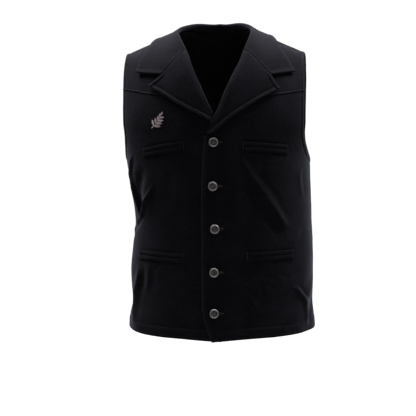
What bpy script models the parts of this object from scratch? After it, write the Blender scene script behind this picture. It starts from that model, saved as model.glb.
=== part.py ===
"""Western vest of black wool, standing open and hollow as it is worn: lapels and a turned-down collar,
front yokes, four piped pockets and five metal buttons.

Metres, +Z up. The front faces -Y and the wearer's left is +X. The origin lies midway between the two side
neck points, where the wearer's shoulders carry the cloth.

The cloth follows one body surface. A place on it is (turn, rise): turn is the angle from the centre line
in radians, rise is the distance along the cloth above the chest line. Below the chest line the surface is
a stack of level rounded sections. Above it, it arches over the shoulder ridge from front to back.
"""

import math
from collections import namedtuple

import bmesh
import bpy
import numpy as np

FRONT, BACK = -1, 1
LEFT, RIGHT = 1, -1  # the wearer's left is +X

# Cloth and seams
CLOTH = 0.0026  # wool with its lining
FOLDED_CLOTH = 0.0034  # two layers of wool, in the lapels and the collar
SEAM_GAP = 0.0003
LAP_GAP = 0.0004  # between cloths that lie on each other
EDGE_STAND_OFF = 0.0026  # how far a lapel's edge stands off the front
SPRING = 0.0018  # how far the collar's edge springs off the shoulders
PIPING = 0.0018

# The body surface
CHEST_LINE = -0.200  # height where the arch over the shoulders begins
ARCH_RADIUS = 0.160  # turns distance along the arch into its angle
RIDGE = ARCH_RADIUS * math.pi / 2
RIDGE_TOP = 0.0222
RIDGE_SLOPE = 0.45
RIDGE_ROUND = 0.040
TOP_HALF_WIDTH = 0.215
SECTION_POWER = 2.4
ARCH_POWER = {FRONT: 2.2, BACK: 2.8}

Level = namedtuple("Level", "height half_width front_depth back_depth sway")
LEVELS = (
    Level(-0.700, 0.2045, 0.1330, 0.1270, 0.0075),
    Level(-0.645, 0.2025, 0.1320, 0.1260, 0.0075),
    Level(-0.6216, 0.2008, 0.1315, 0.1245, 0.0072),
    Level(-0.5864, 0.1950, 0.1308, 0.1225, 0.0085),
    Level(-0.5512, 0.1958, 0.1302, 0.1200, 0.0085),
    Level(-0.5160, 0.1970, 0.1290, 0.1178, 0.0082),
    Level(-0.4808, 0.1960, 0.1282, 0.1164, 0.0090),
    Level(-0.4456, 0.1935, 0.1275, 0.1158, 0.0095),
    Level(-0.4104, 0.1912, 0.1274, 0.1160, 0.0100),
    Level(-0.3800, 0.1918, 0.1276, 0.1175, 0.0085),
    Level(-0.3400, 0.1948, 0.1285, 0.1210, 0.0042),
    Level(-0.3048, 0.1962, 0.1290, 0.1240, 0.0010),
    Level(-0.2696, 0.1990, 0.1290, 0.1262, -0.0015),
    Level(-0.2350, 0.2050, 0.1285, 0.1275, -0.0027),
    Level(-0.2000, 0.2120, 0.1280, 0.1280, -0.0030),
)

# Large soft folds: each lies along a line on the surface, hollow where depth is below zero
Drape = namedtuple("Drape", "facing turn_deg height half_width_deg half_height lean_deg depth")
DRAPES = (
    Drape(FRONT, -74, -0.395, 7, 0.045, 12, -0.0060),
    Drape(FRONT, -58, -0.370, 8, 0.070, -16, 0.0035),
    Drape(FRONT, 34, -0.360, 9, 0.110, 14, -0.0035),
    Drape(FRONT, 52, -0.340, 10, 0.110, 16, 0.0030),
    Drape(FRONT, 66, -0.590, 7, 0.060, 22, 0.0040),
    Drape(FRONT, 78, -0.610, 6, 0.060, 12, -0.0040),
    Drape(FRONT, -72, -0.570, 8, 0.080, -8, 0.0040),
    Drape(FRONT, -40, -0.560, 9, 0.100, -10, -0.0025),
    Drape(BACK, 24, -0.520, 9, 0.110, 6, -0.0040),
    Drape(BACK, -20, -0.500, 9, 0.120, -7, -0.0045),
    Drape(BACK, 3, -0.470, 8, 0.110, 2, 0.0035),
    Drape(BACK, 62, -0.400, 9, 0.060, -14, -0.0040),
    Drape(BACK, -64, -0.420, 9, 0.060, 14, -0.0045),
)

# Outlines as they show from the front: distance from the centre line towards the half's own side, height
Spot = namedtuple("Spot", "across height")
FRONT_EDGE = (  # of the left front, from the hem to where the lapel starts to turn back
    Spot(-0.0043, -0.6623), Spot(-0.0102, -0.6466), Spot(-0.0160, -0.6276), Spot(-0.0213, -0.6132),
    Spot(-0.0245, -0.5915), Spot(-0.0254, -0.5490), Spot(-0.0262, -0.4428), Spot(-0.0266, -0.3578),
    Spot(-0.0261, -0.3156), Spot(-0.0248, -0.2840), Spot(-0.0221, -0.2420), Spot(-0.0196, -0.2231),
)
UNDER_EDGE = (Spot(-0.016, -0.6620), Spot(-0.016, -0.2150), Spot(0.0013, -0.1850))  # of the right front
YOKE_SEAM = (
    Spot(0.0, -0.1385), Spot(0.110, -0.1375), Spot(0.141, -0.1355), Spot(0.172, -0.1306),
    Spot(0.200, -0.1262),
)
COLLAR_BACK_EDGE = (Spot(0.1000, -0.0300), Spot(0.0600, -0.0440), Spot(0.0, -0.0480))
BACK_NECK = -0.0060  # height of the back neck seam at the centre

Half = namedtuple(
    "Half",
    "name roll lapel_edge gorge lapel_top collar_bottom collar_edge collar_on_ridge"
    " neck_deg armhole_deg tip_deg spring",
)
HALVES = {
    LEFT: Half(
        name="left",
        roll=(
            Spot(-0.0125, -0.2185), Spot(-0.0029, -0.1920), Spot(0.0079, -0.1732), Spot(0.0255, -0.1296),
            Spot(0.0412, -0.0949), Spot(0.0571, -0.0604), Spot(0.0616, -0.0445),
        ),
        lapel_edge=(
            Spot(-0.0080, -0.2186), Spot(-0.0005, -0.2140), Spot(0.0327, -0.1862), Spot(0.0782, -0.1562),
            Spot(0.1001, -0.1432), Spot(0.1352, -0.1245),
        ),
        gorge=(Spot(0.0616, -0.0445), Spot(0.0827, -0.0609), Spot(0.0988, -0.0781), Spot(0.1175, -0.0975)),
        lapel_top=(Spot(0.1175, -0.0975), Spot(0.1257, -0.1123), Spot(0.1352, -0.1245)),
        collar_bottom=(Spot(0.1175, -0.0975), Spot(0.1389, -0.0935), Spot(0.1649, -0.0899)),
        collar_edge=(
            Spot(0.1649, -0.0899), Spot(0.1585, -0.0782), Spot(0.1523, -0.0674), Spot(0.1442, -0.0537),
            Spot(0.1374, -0.0437), Spot(0.1323, -0.0365),
        ),
        collar_on_ridge=0.113,
        neck_deg=33.0,
        armhole_deg={FRONT: 69.3, BACK: 69.6},
        tip_deg=68.4,
        spring=0.0016,
    ),
    RIGHT: Half(
        name="right",
        roll=(
            Spot(0.0045, -0.1791), Spot(0.0085, -0.1700), Spot(0.0192, -0.1478), Spot(0.0395, -0.1042),
            Spot(0.0514, -0.0771), Spot(0.0570, -0.0615), Spot(0.0645, -0.0450),
        ),
        lapel_edge=(
            Spot(0.0076, -0.1912), Spot(0.0228, -0.1825), Spot(0.0387, -0.1748), Spot(0.0704, -0.1592),
            Spot(0.1057, -0.1382), Spot(0.1410, -0.1190),
        ),
        gorge=(Spot(0.0645, -0.0450), Spot(0.0827, -0.0620), Spot(0.0975, -0.0785), Spot(0.1139, -0.0966)),
        lapel_top=(Spot(0.1139, -0.0966), Spot(0.1245, -0.1062), Spot(0.1410, -0.1190)),
        collar_bottom=(Spot(0.1139, -0.0966), Spot(0.1359, -0.0950), Spot(0.1672, -0.0925)),
        collar_edge=(
            Spot(0.1672, -0.0925), Spot(0.1630, -0.0733), Spot(0.1575, -0.0614), Spot(0.1514, -0.0509),
            Spot(0.1467, -0.0433), Spot(0.1433, -0.0357),
        ),
        collar_on_ridge=0.131,
        neck_deg=35.2,
        armhole_deg={FRONT: 73.3, BACK: 74.0},
        tip_deg=72.4,
        spring=0.0034,
    ),
}
SHOULDER_SEAM = ARCH_RADIUS * math.radians(71)  # on the front, forward of the ridge
UNDERARM = -0.275

# Height of the hem round the body: the turn is measured from the centre front or the centre back
Hem = namedtuple("Hem", "turn_deg left right back")
HEM = (
    Hem(-15, -0.6640, -0.6610, -0.6400),
    Hem(0, -0.6600, -0.6600, -0.6400),
    Hem(30, -0.6535, -0.6560, -0.6400),
    Hem(60, -0.6480, -0.6515, -0.6400),
    Hem(80, -0.6430, -0.6435, -0.6400),
    Hem(90, -0.6400, -0.6400, -0.6400),
)

# Collar stand: share of the way round from the gorge to the centre back, stand height, lean to the neck
Station = namedtuple("Station", "share stand_height lean_deg drop_deg")
STAND = (
    Station(0.00, 0.0025, 0, 0),
    Station(0.15, 0.0040, 26, 8),
    Station(0.38, 0.0062, 56, 15),
    Station(0.70, 0.0135, 60, 14),
    Station(1.00, 0.0235, 63, 13),
)
FOLD_RADIUS = FOLDED_CLOTH / 2 + LAP_GAP

# Buttons, from the top one down, and pockets, from the inner end of the slit to the outer
BUTTONS = (
    Spot(-0.0006, -0.2359), Spot(-0.0021, -0.3285), Spot(0.0022, -0.4194), Spot(0.0008, -0.5119),
    Spot(0.0012, -0.5989),
)
Ring = namedtuple("Ring", "radius out")
BUTTON_RINGS = (
    Ring(0.0030, 0.0000), Ring(0.0030, 0.0012), Ring(0.0084, 0.0016), Ring(0.0098, 0.0026), Ring(0.0096, 0.0036),
    Ring(0.0084, 0.0043), Ring(0.0067, 0.0041), Ring(0.0059, 0.0031), Ring(0.0030, 0.0029),
)
BUTTON_MIDDLE = 0.0034
Pocket = namedtuple("Pocket", "name side slit")
POCKETS = (
    Pocket("chest", LEFT, (Spot(0.0596, -0.2440), Spot(0.1037, -0.2468), Spot(0.1523, -0.2516))),
    Pocket("chest", RIGHT, (Spot(0.0629, -0.2437), Spot(0.1010, -0.2486), Spot(0.1518, -0.2595))),
    Pocket("waist", LEFT, (Spot(0.0696, -0.4775), Spot(0.1200, -0.4770), Spot(0.1649, -0.4741))),
    Pocket("waist", RIGHT, (Spot(0.0625, -0.4825), Spot(0.1100, -0.4818), Spot(0.1640, -0.4795))),
)
WELT_HEIGHT = 0.0088
POCKET_SLIT = 0.0012

# How finely each piece is divided
TRUNK_ROWS, UNDERARM_ROWS, CHEST_ROWS, ROLL_ROWS, NECK_ROWS = 13, 3, 7, 8, 4
BACK_ROWS, BACK_COLUMNS, NECK_COLUMNS = 27, 28, 16
FRONT_COLUMNS, YOKE_COLUMNS = 15, 9
GORGE_COLUMNS, NOTCH_COLUMNS = 6, 3
STAND_ROWS, FOLD_ROWS, FALL_ROWS = 2, 4, 8
WELT_COLUMNS, BUTTON_SIDES = 12, 24

WOOL = ((0.012, 0.012, 0.016), 0.92, 0.0)
METAL = ((0.42, 0.40, 0.38), 0.38, 0.95)


def smooth_curve(xs, ys, at):
    """Values, at the places at, of a smooth curve through the points (xs, ys) with xs rising."""
    xs, ys, at = (np.asarray(a, float) for a in (xs, ys, at))
    slopes = np.gradient(ys, xs)
    k = np.clip(np.searchsorted(xs, at) - 1, 0, len(xs) - 2)
    span = xs[k + 1] - xs[k]
    t = np.clip((at - xs[k]) / span, 0, 1)
    from_start = (1 + 2 * t) * (1 - t) ** 2 * ys[k] + t * (1 - t) ** 2 * span * slopes[k]
    return from_start + t**2 * (3 - 2 * t) * ys[k + 1] + t**2 * (t - 1) * span * slopes[k + 1]


def column(rows, name, key, at):
    """One named column of a table, read smoothly at the values at of its key column."""
    return smooth_curve([getattr(r, key) for r in rows], [getattr(r, name) for r in rows], at)


def smooth_step(at, low, high):
    """0 below low and 1 above high, turning smoothly between them."""
    t = np.clip((np.asarray(at, float) - low) / (high - low), 0, 1)
    return t * t * (3 - 2 * t)


def ridge_height(x):
    """Height of the shoulder ridge at the distance x from the body's axis."""
    return RIDGE_TOP - RIDGE_SLOPE * (np.sqrt(x**2 + RIDGE_ROUND**2) - RIDGE_ROUND)


def drape_depth(turn, height, facing):
    """How far the large soft folds push the cloth out."""
    depth = np.zeros_like(turn)
    for d in DRAPES:
        along = (height - d.height) / d.half_height
        line = math.radians(d.turn_deg) + math.radians(d.lean_deg) * along
        across = (turn - line) / math.radians(d.half_width_deg)
        depth += np.where(facing == d.facing, d.depth, 0) * np.exp(-(across**2) - along**2)
    return depth


def body_point(turn, rise, facing):
    """Points of the inner face of the cloth, one row each. A rise past the ridge lies on the other side."""
    turn, rise, facing = np.broadcast_arrays(
        np.asarray(turn, float), np.asarray(rise, float), np.asarray(facing, int)
    )
    arch = np.maximum(rise, 0) / ARCH_RADIUS
    past_ridge = arch > math.pi / 2
    facing = np.where(past_ridge, -facing, facing)
    arch = np.where(past_ridge, math.pi - arch, arch)
    height = CHEST_LINE + np.minimum(rise, 0)
    power = np.where(facing == FRONT, ARCH_POWER[FRONT], ARCH_POWER[BACK])
    reach = (np.abs(np.cos(arch)) ** power + np.abs(np.sin(arch)) ** power) ** (-1 / power)
    level_share, climb = reach * np.cos(arch), reach * np.sin(arch)
    half_width = column(LEVELS, "half_width", "height", height)
    half_width = half_width + (TOP_HALF_WIDTH - LEVELS[-1].half_width) * climb
    depth = np.where(
        facing == FRONT,
        column(LEVELS, "front_depth", "height", height),
        column(LEVELS, "back_depth", "height", height),
    )
    radius = (
        np.abs(np.sin(turn) / half_width) ** SECTION_POWER + np.abs(np.cos(turn) / depth) ** SECTION_POWER
    ) ** (-1 / SECTION_POWER)
    radius = radius + drape_depth(turn, height, facing) * smooth_step(-rise, 0.0, 0.05)
    x = radius * np.sin(turn)
    y = facing * radius * np.cos(turn) * level_share
    z = height + (ridge_height(x) - CHEST_LINE) * climb
    return np.stack([x + column(LEVELS, "sway", "height", height), y, z], axis=-1)


def outward(turn, rise, facing):
    """Unit normals of the body surface, pointing away from the wearer."""
    step = 0.0004
    across = body_point(turn + step, rise, facing) - body_point(turn - step, rise, facing)
    upward = body_point(turn, rise + step, facing) - body_point(turn, rise - step, facing)
    normal = np.cross(across, upward) * -np.asarray(facing, float)
    return normal / np.linalg.norm(normal, axis=-1, keepdims=True)


def cloth(places, facing, out):
    """Points at the distance out from the inner face of the cloth, at an array of (turn, rise) places."""
    turn, rise = places[..., 0], places[..., 1]
    lift = np.broadcast_to(out, turn.shape)[..., None]
    return body_point(turn, rise, facing) + outward(turn, rise, facing) * lift


def place(x, z, facing=FRONT):
    """(turn, rise) of the point that shows at x, z from the front or, for BACK, from behind."""
    height = min(z, CHEST_LINE)
    x = x - float(column(LEVELS, "sway", "height", height))
    climb = min(max(z - CHEST_LINE, 0) / (float(ridge_height(x)) - CHEST_LINE), 1.0)
    half_width = float(column(LEVELS, "half_width", "height", height))
    half_width += (TOP_HALF_WIDTH - LEVELS[-1].half_width) * climb
    depth = float(column(LEVELS, "front_depth" if facing == FRONT else "back_depth", "height", height))
    power = ARCH_POWER[facing]
    level_share = (1 - climb**power) ** (1 / power)
    reach = depth * (1 - abs(x / half_width) ** SECTION_POWER) ** (1 / SECTION_POWER)
    rise = ARCH_RADIUS * math.atan2(climb, level_share) if z > CHEST_LINE else z - CHEST_LINE
    return math.atan2(x, reach), rise


def places(spots, side=LEFT, facing=FRONT):
    """The (turn, rise) places of a list of Spots, on one side of the vest."""
    return np.array([place(side * s.across, s.height, facing) for s in spots])


def lengths(points):
    """Distance from the first point along a line of points, at each of them."""
    steps = np.linalg.norm(np.diff(np.asarray(points, float), axis=0), axis=1)
    return np.concatenate([[0], np.cumsum(steps)])


def along_cloth(line):
    """Distance along the cloth at each of a line of places, taking the turn on the arch's radius."""
    return lengths(np.asarray(line, float) * (ARCH_RADIUS, 1))


def divide(line, count=None, shares=None):
    """Places along a line: count + 1 of them evenly spaced, or at the given shares of its length."""
    line = np.asarray(line, float)
    along = along_cloth(line)
    at = (np.linspace(0, 1, count + 1) if shares is None else np.asarray(shares)) * along[-1]
    return np.stack([np.interp(at, along, line[:, k]) for k in (0, 1)], axis=-1)


def smooth_spots(spots, count=32):
    """More Spots on a smooth curve through the given ones."""
    along = lengths(spots)
    at = np.linspace(0, along[-1], count + 1)
    across = smooth_curve(along, [s.across for s in spots], at)
    height = smooth_curve(along, [s.height for s in spots], at)
    return [Spot(x, z) for x, z in zip(across, height)]


def join(*lines):
    """One line of places from several that meet end to end."""
    return np.concatenate([lines[0]] + [line[1:] for line in lines[1:]])


def cut_at(line, rise):
    """Splits a rising line of places at a rise: (the part below, the part above)."""
    k = max(int(np.argmax(line[:, 1] > rise)), 1)
    share = (rise - line[k - 1, 1]) / (line[k, 1] - line[k - 1, 1])
    middle = line[k - 1] + (line[k] - line[k - 1]) * share
    return np.vstack([line[:k], middle]), np.vstack([middle, line[k:]])


def patch(bottom, top, start, end):
    """Grid of places between four edge lines: bottom and top run across, start and end run upward."""
    v = np.linspace(0, 1, len(start))[:, None, None]
    u = np.linspace(0, 1, len(bottom))[None, :, None]
    ruled = (1 - v) * bottom[None] + v * top[None] + (1 - u) * start[:, None] + u * end[:, None]
    corners = (1 - v) * ((1 - u) * bottom[0] + u * bottom[-1]) + v * ((1 - u) * top[0] + u * top[-1])
    return ruled - corners


def material(name, finish):
    """Plain material of a colour, a roughness and a metallic value."""
    colour, roughness, metallic = finish
    made = bpy.data.materials.get(name) or bpy.data.materials.new(name)
    made.use_nodes = True
    shader = made.node_tree.nodes["Principled BSDF"]
    shader.inputs["Base Color"].default_value = (*colour, 1)
    shader.inputs["Roughness"].default_value = roughness
    shader.inputs["Metallic"].default_value = metallic
    made.diffuse_color = (*colour, 1)
    return made


def add_object(name, mesh_data, finish_name, finish):
    """Object of a bmesh, its faces turned outward and shaded smooth between sharp edges."""
    bmesh.ops.recalc_face_normals(mesh_data, faces=mesh_data.faces)
    mesh = bpy.data.meshes.new(name)
    mesh_data.to_mesh(mesh)
    mesh_data.free()
    mesh.shade_smooth()
    mesh.set_sharp_from_angle(angle=math.radians(40))
    mesh.materials.append(material(finish_name, finish))
    made = bpy.data.objects.new(name, mesh)
    bpy.context.scene.collection.objects.link(made)
    return made


def wall(name, inner, outer):
    """Closed piece of cloth between two grids of points, with its cut edges all round."""
    mesh_data = bmesh.new()
    low, high = ([[mesh_data.verts.new(p) for p in row] for row in grid] for grid in (inner, outer))
    rows, columns = len(inner) - 1, len(inner[0]) - 1
    for grid in (low, high):
        for j in range(rows):
            for i in range(columns):
                mesh_data.faces.new((grid[j][i], grid[j][i + 1], grid[j + 1][i + 1], grid[j + 1][i]))
    rim = [(0, i) for i in range(columns)] + [(j, columns) for j in range(rows)]
    rim += [(rows, i) for i in range(columns, 0, -1)] + [(j, 0) for j in range(rows, 0, -1)]
    for (j, i), (n, m) in zip(rim, rim[1:] + rim[:1]):
        mesh_data.faces.new((low[j][i], low[n][m], high[n][m], high[j][i]))
    return add_object(name, mesh_data, "wool", WOOL)


def panel(name, grid, facing, lift=0.0):
    """Piece of one layer of cloth on a grid of places, lifted off the body surface by lift."""
    return wall(name, cloth(grid, facing, lift), cloth(grid, facing, lift + CLOTH))


def hem_line(turns, name, side=LEFT):
    """Places along the hem at the given turns; name is the hem's column."""
    heights = column(HEM, name, "turn_deg", np.degrees(side * np.asarray(turns)))
    return np.stack([turns, heights - CHEST_LINE], axis=-1)


def seam_turn(side):
    """Turn of the cut edge at a side seam."""
    return side * (math.pi / 2 - SEAM_GAP / 2 / LEVELS[0].half_width)


def side_line(side, rows):
    """The side seam's edge, from the hem to the underarm."""
    ends = [(seam_turn(side), height - CHEST_LINE) for height in (HEM[-1].left, UNDERARM)]
    return divide(ends, rows)


def armhole_line(side, facing, top_rise):
    """The armhole's edge, from the underarm up to top_rise: a quarter round, then the arch."""
    start, edge = seam_turn(side), side * math.radians(HALVES[side].armhole_deg[facing])
    tip = side * math.radians(HALVES[side].tip_deg)
    quarter = [math.radians(a) for a in range(0, 91, 6)]
    depth = UNDERARM - CHEST_LINE
    line = [(start + (edge - start) * math.sin(a), depth * math.cos(a)) for a in quarter]
    reach = min(top_rise, RIDGE)
    rises = np.linspace(0, top_rise, 16)[1:]
    line += [(edge + (tip - edge) * min(r / reach, 1) ** 3, r) for r in rises]
    return np.array(line)


def front_lift(grid, side):
    """How far a front is raised off the body surface: the left one, where it lies over the right one."""
    x = body_point(grid[..., 0], grid[..., 1], FRONT)[..., 0]
    raised = CLOTH + LAP_GAP if side == LEFT else 0.0
    return raised * (1 - smooth_step(x, 0.022, 0.070))


def yoke_seam_height(across):
    """Height of the yoke seam at a distance from the centre line."""
    return float(column(YOKE_SEAM, "height", "across", across))


def roll_parts(side):
    """The front's edge under the lapel, from its foot to the gorge: (rows below the yoke seam, rows above)."""
    spots = smooth_spots(HALVES[side].roll)
    line = places(spots, side)
    crossing = next(s for s in spots if s.height > yoke_seam_height(s.across))
    seam_rise = place(side * crossing.across, yoke_seam_height(crossing.across))[1]
    below, above = cut_at(line, seam_rise)
    return divide(below, CHEST_ROWS - (1 if side == LEFT else 2)), divide(above, ROLL_ROWS)


def front_start(side):
    """The free edge of a front, from the hem to the yoke seam."""
    if side == LEFT:
        edge = places(smooth_spots(FRONT_EDGE, 60))
        step = []
    else:
        heights = np.linspace(UNDER_EDGE[0].height, UNDER_EDGE[1].height, 60)
        edge = np.array([place(-UNDER_EDGE[0].across, z) for z in heights])
        step = [place(-UNDER_EDGE[2].across, UNDER_EDGE[2].height)]
    below, _ = roll_parts(side)
    trunk, chest = cut_at(edge, UNDERARM - CHEST_LINE)
    start = join(divide(trunk, TRUNK_ROWS), divide(chest, UNDERARM_ROWS))
    return np.vstack([start, *([step] if step else []), below])


def front_grid(side):
    """Grid of a front below its yoke."""
    half = HALVES[side]
    start = front_start(side)
    armhole = armhole_line(side, FRONT, SHOULDER_SEAM)
    seam_end = next(
        place(side * x, yoke_seam_height(x))
        for x in np.linspace(0.16, 0.21, 500)
        if abs(place(side * x, yoke_seam_height(x))[0]) >= math.radians(half.armhole_deg[FRONT])
    )
    below, _ = cut_at(armhole, seam_end[1])
    quarter, arch = cut_at(below, -0.02)
    end = join(side_line(side, TRUNK_ROWS), divide(quarter, UNDERARM_ROWS), divide(arch, CHEST_ROWS))
    bottom = hem_line(np.linspace(start[0, 0], end[0, 0], FRONT_COLUMNS + 1), half.name, side)
    first, last = body_point(*start[-1], FRONT)[0], body_point(*end[-1], FRONT)[0]
    across = np.linspace(first, last, FRONT_COLUMNS + 1)
    top = np.array([place(x, yoke_seam_height(abs(x))) for x in across])
    start[0] = bottom[0]
    bottom[-1], top[0], top[-1] = end[0], start[-1], end[-1]
    return patch(bottom, top, start, end)


def yoke_grid(side, seam):
    """Grid of a front yoke, above the seam line given and up to the shoulder seam."""
    bottom = divide(seam, YOKE_COLUMNS) + (0, SEAM_GAP)
    _, roll = roll_parts(side)
    front_neck, _ = neck_edge(side)
    start = join(roll, divide(front_neck, NECK_ROWS))
    start[0] = bottom[0]
    _, armhole = cut_at(armhole_line(side, FRONT, SHOULDER_SEAM), bottom[-1, 1])
    end = divide(armhole, ROLL_ROWS + NECK_ROWS)
    end[0] = bottom[-1]
    top = np.linspace(start[-1], end[-1], YOKE_COLUMNS + 1)
    return patch(bottom, top, start, end)


def neck_edge(side):
    """The neck seam in two parts: up the front from the gorge to the shoulder seam, then behind it.

    The rises of the second part are measured up the back. It ends at the centre."""
    gorge = np.array(place(side * HALVES[side].gorge[0].across, HALVES[side].gorge[0].height))
    shoulder = np.array((side * math.radians(HALVES[side].neck_deg), SHOULDER_SEAM))
    share = np.linspace(0, 1, 12)[:, None]
    front = gorge + (shoulder - gorge) * share + np.array((side * 0.018, 0.0)) * np.sin(math.pi * share)
    centre, past = place(0.0, BACK_NECK, BACK)[1], 2 * RIDGE - SHOULDER_SEAM
    angles = np.linspace(math.pi / 2, 0, 24)
    back = [(shoulder[0] * math.sin(a), centre + (past - centre) * (1 - math.cos(a))) for a in angles]
    return front, np.array(back)


def back_grid():
    """Grid of the back. Its top runs along one shoulder seam, the neck seam and the other shoulder seam."""
    past = 2 * RIDGE - SHOULDER_SEAM - SEAM_GAP
    ends, tops = {}, {}
    for side in (LEFT, RIGHT):
        armhole = armhole_line(side, BACK, past)
        ends[side] = join(side_line(side, TRUNK_ROWS), divide(armhole, BACK_ROWS - TRUNK_ROWS))
        neck = divide(neck_edge(side)[1], NECK_COLUMNS // 2) - (0, SEAM_GAP)
        shoulder = np.linspace(ends[side][-1], neck[0], (BACK_COLUMNS - NECK_COLUMNS) // 2 + 1)
        tops[side] = join(shoulder, neck)
    top = join(tops[RIGHT], tops[LEFT][::-1])
    turns = np.linspace(ends[RIGHT][0, 0], ends[LEFT][0, 0], BACK_COLUMNS + 1)
    bottom = hem_line(turns, "back")
    return patch(bottom, top, ends[RIGHT], ends[LEFT])


def away_from_neck(points, normals, side):
    """Unit vectors in the cloth that point away from the neck, along an edge that runs up the front."""
    away = -side * np.cross(normals, np.gradient(points, axis=0))
    return away / np.linalg.norm(away, axis=1, keepdims=True)


def make_lapel(side):
    """Lapel: two layers of wool that roll round the front's edge and lie turned back on the front."""
    half = HALVES[side]
    inner_line = join(*roll_parts(side))
    outer_line = divide(places(smooth_spots(half.lapel_edge), side), len(inner_line) - 1)
    gorge = divide(places(smooth_spots(half.gorge), side), GORGE_COLUMNS)
    top_line = join(gorge, divide(places(smooth_spots(half.lapel_top), side), NOTCH_COLUMNS)) - (0, LAP_GAP)
    top_line[-1] = outer_line[-1]
    inner_line[-1] = top_line[0]
    bottom_line = np.linspace(inner_line[0], outer_line[0], len(top_line))
    grid = patch(bottom_line, top_line, inner_line, outer_line)
    stand_off = LAP_GAP + EDGE_STAND_OFF * np.linspace(0, 1, grid.shape[1]) ** 1.5
    low = front_lift(grid, side) + CLOTH + stand_off[None, :]
    normals = outward(inner_line[:, 0], inner_line[:, 1], FRONT)
    away = away_from_neck(cloth(inner_line, FRONT, 0.0), normals, side)
    corner = cloth(inner_line, FRONT, front_lift(inner_line, side) + CLOTH)
    faces = []
    for distance, flat in ((LAP_GAP, low), (LAP_GAP + FOLDED_CLOTH, low + FOLDED_CLOTH)):
        rolled = [corner - normals * CLOTH - away * distance]
        for angle in (180, 150, 120):
            c, s = math.cos(math.radians(angle)), math.sin(math.radians(angle))
            rolled.append(corner + (away * c + normals * s) * distance)
        faces.append(np.concatenate([np.stack(rolled, axis=1), cloth(grid, FRONT, flat)], axis=1))
    return wall(f"lapel_{half.name}", *faces)


def up_the_back(front_places):
    """Places on the front written with rises measured up the back, past the ridge."""
    return np.stack([front_places[:, 0], 2 * RIDGE - front_places[:, 1]], axis=-1)


def collar_half(side):
    """Middle of one half of the collar: a row of sections from the gorge to the centre back."""
    half = HALVES[side]
    front_neck, back_neck = neck_edge(side)
    neck = join(up_the_back(divide(front_neck, NECK_ROWS)), divide(back_neck, NECK_COLUMNS // 2))
    shares = along_cloth(neck) / along_cloth(neck)[-1]
    on_ridge = place(side * half.collar_on_ridge, 1.0, BACK)
    corners = np.vstack(
        [up_the_back(places(half.collar_edge, side)), [on_ridge], places(COLLAR_BACK_EDGE, side, BACK)]
    )
    along = along_cloth(corners)
    fine = np.linspace(0, along[-1], 60)
    curve = np.stack([smooth_curve(along, corners[:, k], fine) for k in (0, 1)], axis=-1)
    edge = divide(curve, shares=shares)
    gorge = divide(places(smooth_spots(half.gorge), side), GORGE_COLUMNS)
    bottom = divide(places(smooth_spots(half.collar_bottom), side), FALL_ROWS - GORGE_COLUMNS)
    end = up_the_back(join(gorge, bottom)) - (0, LAP_GAP)
    centre = np.linspace(neck[-1], edge[-1], FALL_ROWS + 1)
    neck[0], edge[0] = end[0], end[-1]
    grid = patch(end, centre, neck, edge)
    height = column(STAND, "stand_height", "share", shares)[:, None]
    lean = np.radians(column(STAND, "lean_deg", "share", shares))
    drop = np.radians(column(STAND, "drop_deg", "share", shares))
    seam = cloth(neck, BACK, 0.0)
    normals = outward(neck[:, 0], neck[:, 1], BACK)
    away = away_from_neck(seam, normals, side)
    up = normals * np.cos(lean)[:, None] - away * np.sin(lean)[:, None]
    aside = away * np.cos(lean)[:, None] + normals * np.sin(lean)[:, None]
    foot = seam + normals * (FOLDED_CLOTH / 2 * np.sin(lean) + SEAM_GAP)[:, None]
    foot -= away * (2 * SEAM_GAP + FOLDED_CLOTH / 2 * np.cos(lean))[:, None]
    section = [foot + up * height * s for s in np.linspace(0, 1, STAND_ROWS + 1)[:-1]]
    middle = foot + up * height + aside * FOLD_RADIUS
    sweep = math.pi / 2 + lean + drop
    for s in np.linspace(0, 1, FOLD_ROWS + 1):
        angle = (sweep * s)[:, None]
        section.append(middle - aside * FOLD_RADIUS * np.cos(angle) + up * FOLD_RADIUS * np.sin(angle))
    clear = CLOTH + LAP_GAP + FOLDED_CLOTH / 2
    overhang = section[-1] - cloth(grid[:, 0], BACK, clear)
    spring = SPRING + (half.spring - SPRING) * (1 - smooth_step(shares, 0.08, 0.30))
    for k in range(1, FALL_ROWS + 1):
        w = k / FALL_ROWS
        section.append(cloth(grid[:, k], BACK, clear + spring * w**1.5) + overhang * (1 - w) ** 2.2)
    return np.stack(section, axis=1)


def make_collar():
    """Collar: the stand rises from the neck seam, folds over and falls on the shoulders."""
    left, right = collar_half(LEFT), collar_half(RIGHT)
    centre = (left[-1:] + right[-1:]) / 2 * (0, 1, 1)
    whole = np.concatenate([left[:-1], centre, right[:-1][::-1]])
    normals = np.cross(np.gradient(whole, axis=1), np.gradient(whole, axis=0))
    normals /= np.linalg.norm(normals, axis=-1, keepdims=True)
    return wall("collar", whole - normals * FOLDED_CLOTH / 2, whole + normals * FOLDED_CLOTH / 2)


def make_pocket(pocket):
    """Piped pocket: an upper and a lower welt on the front, with the slit between them."""
    slit = smooth_spots(pocket.slit, WELT_COLUMNS)
    for edge_name, sign in (("upper", 1), ("lower", -1)):
        offsets = [sign * (POCKET_SLIT / 2 + WELT_HEIGHT * share) for share in (0.0, 0.5, 1.0)]
        lines = [[Spot(s.across, s.height + offset) for s in slit] for offset in offsets]
        grid = np.array([places(line, pocket.side) for line in lines])
        base = front_lift(grid, pocket.side) + CLOTH + SEAM_GAP
        swell = PIPING * np.array([0.75, 1.0, 0.45])[:, None]
        wall(
            f"welt_{pocket.name}_{HALVES[pocket.side].name}_{edge_name}",
            cloth(grid, FRONT, base),
            cloth(grid, FRONT, base + swell),
        )


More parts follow.
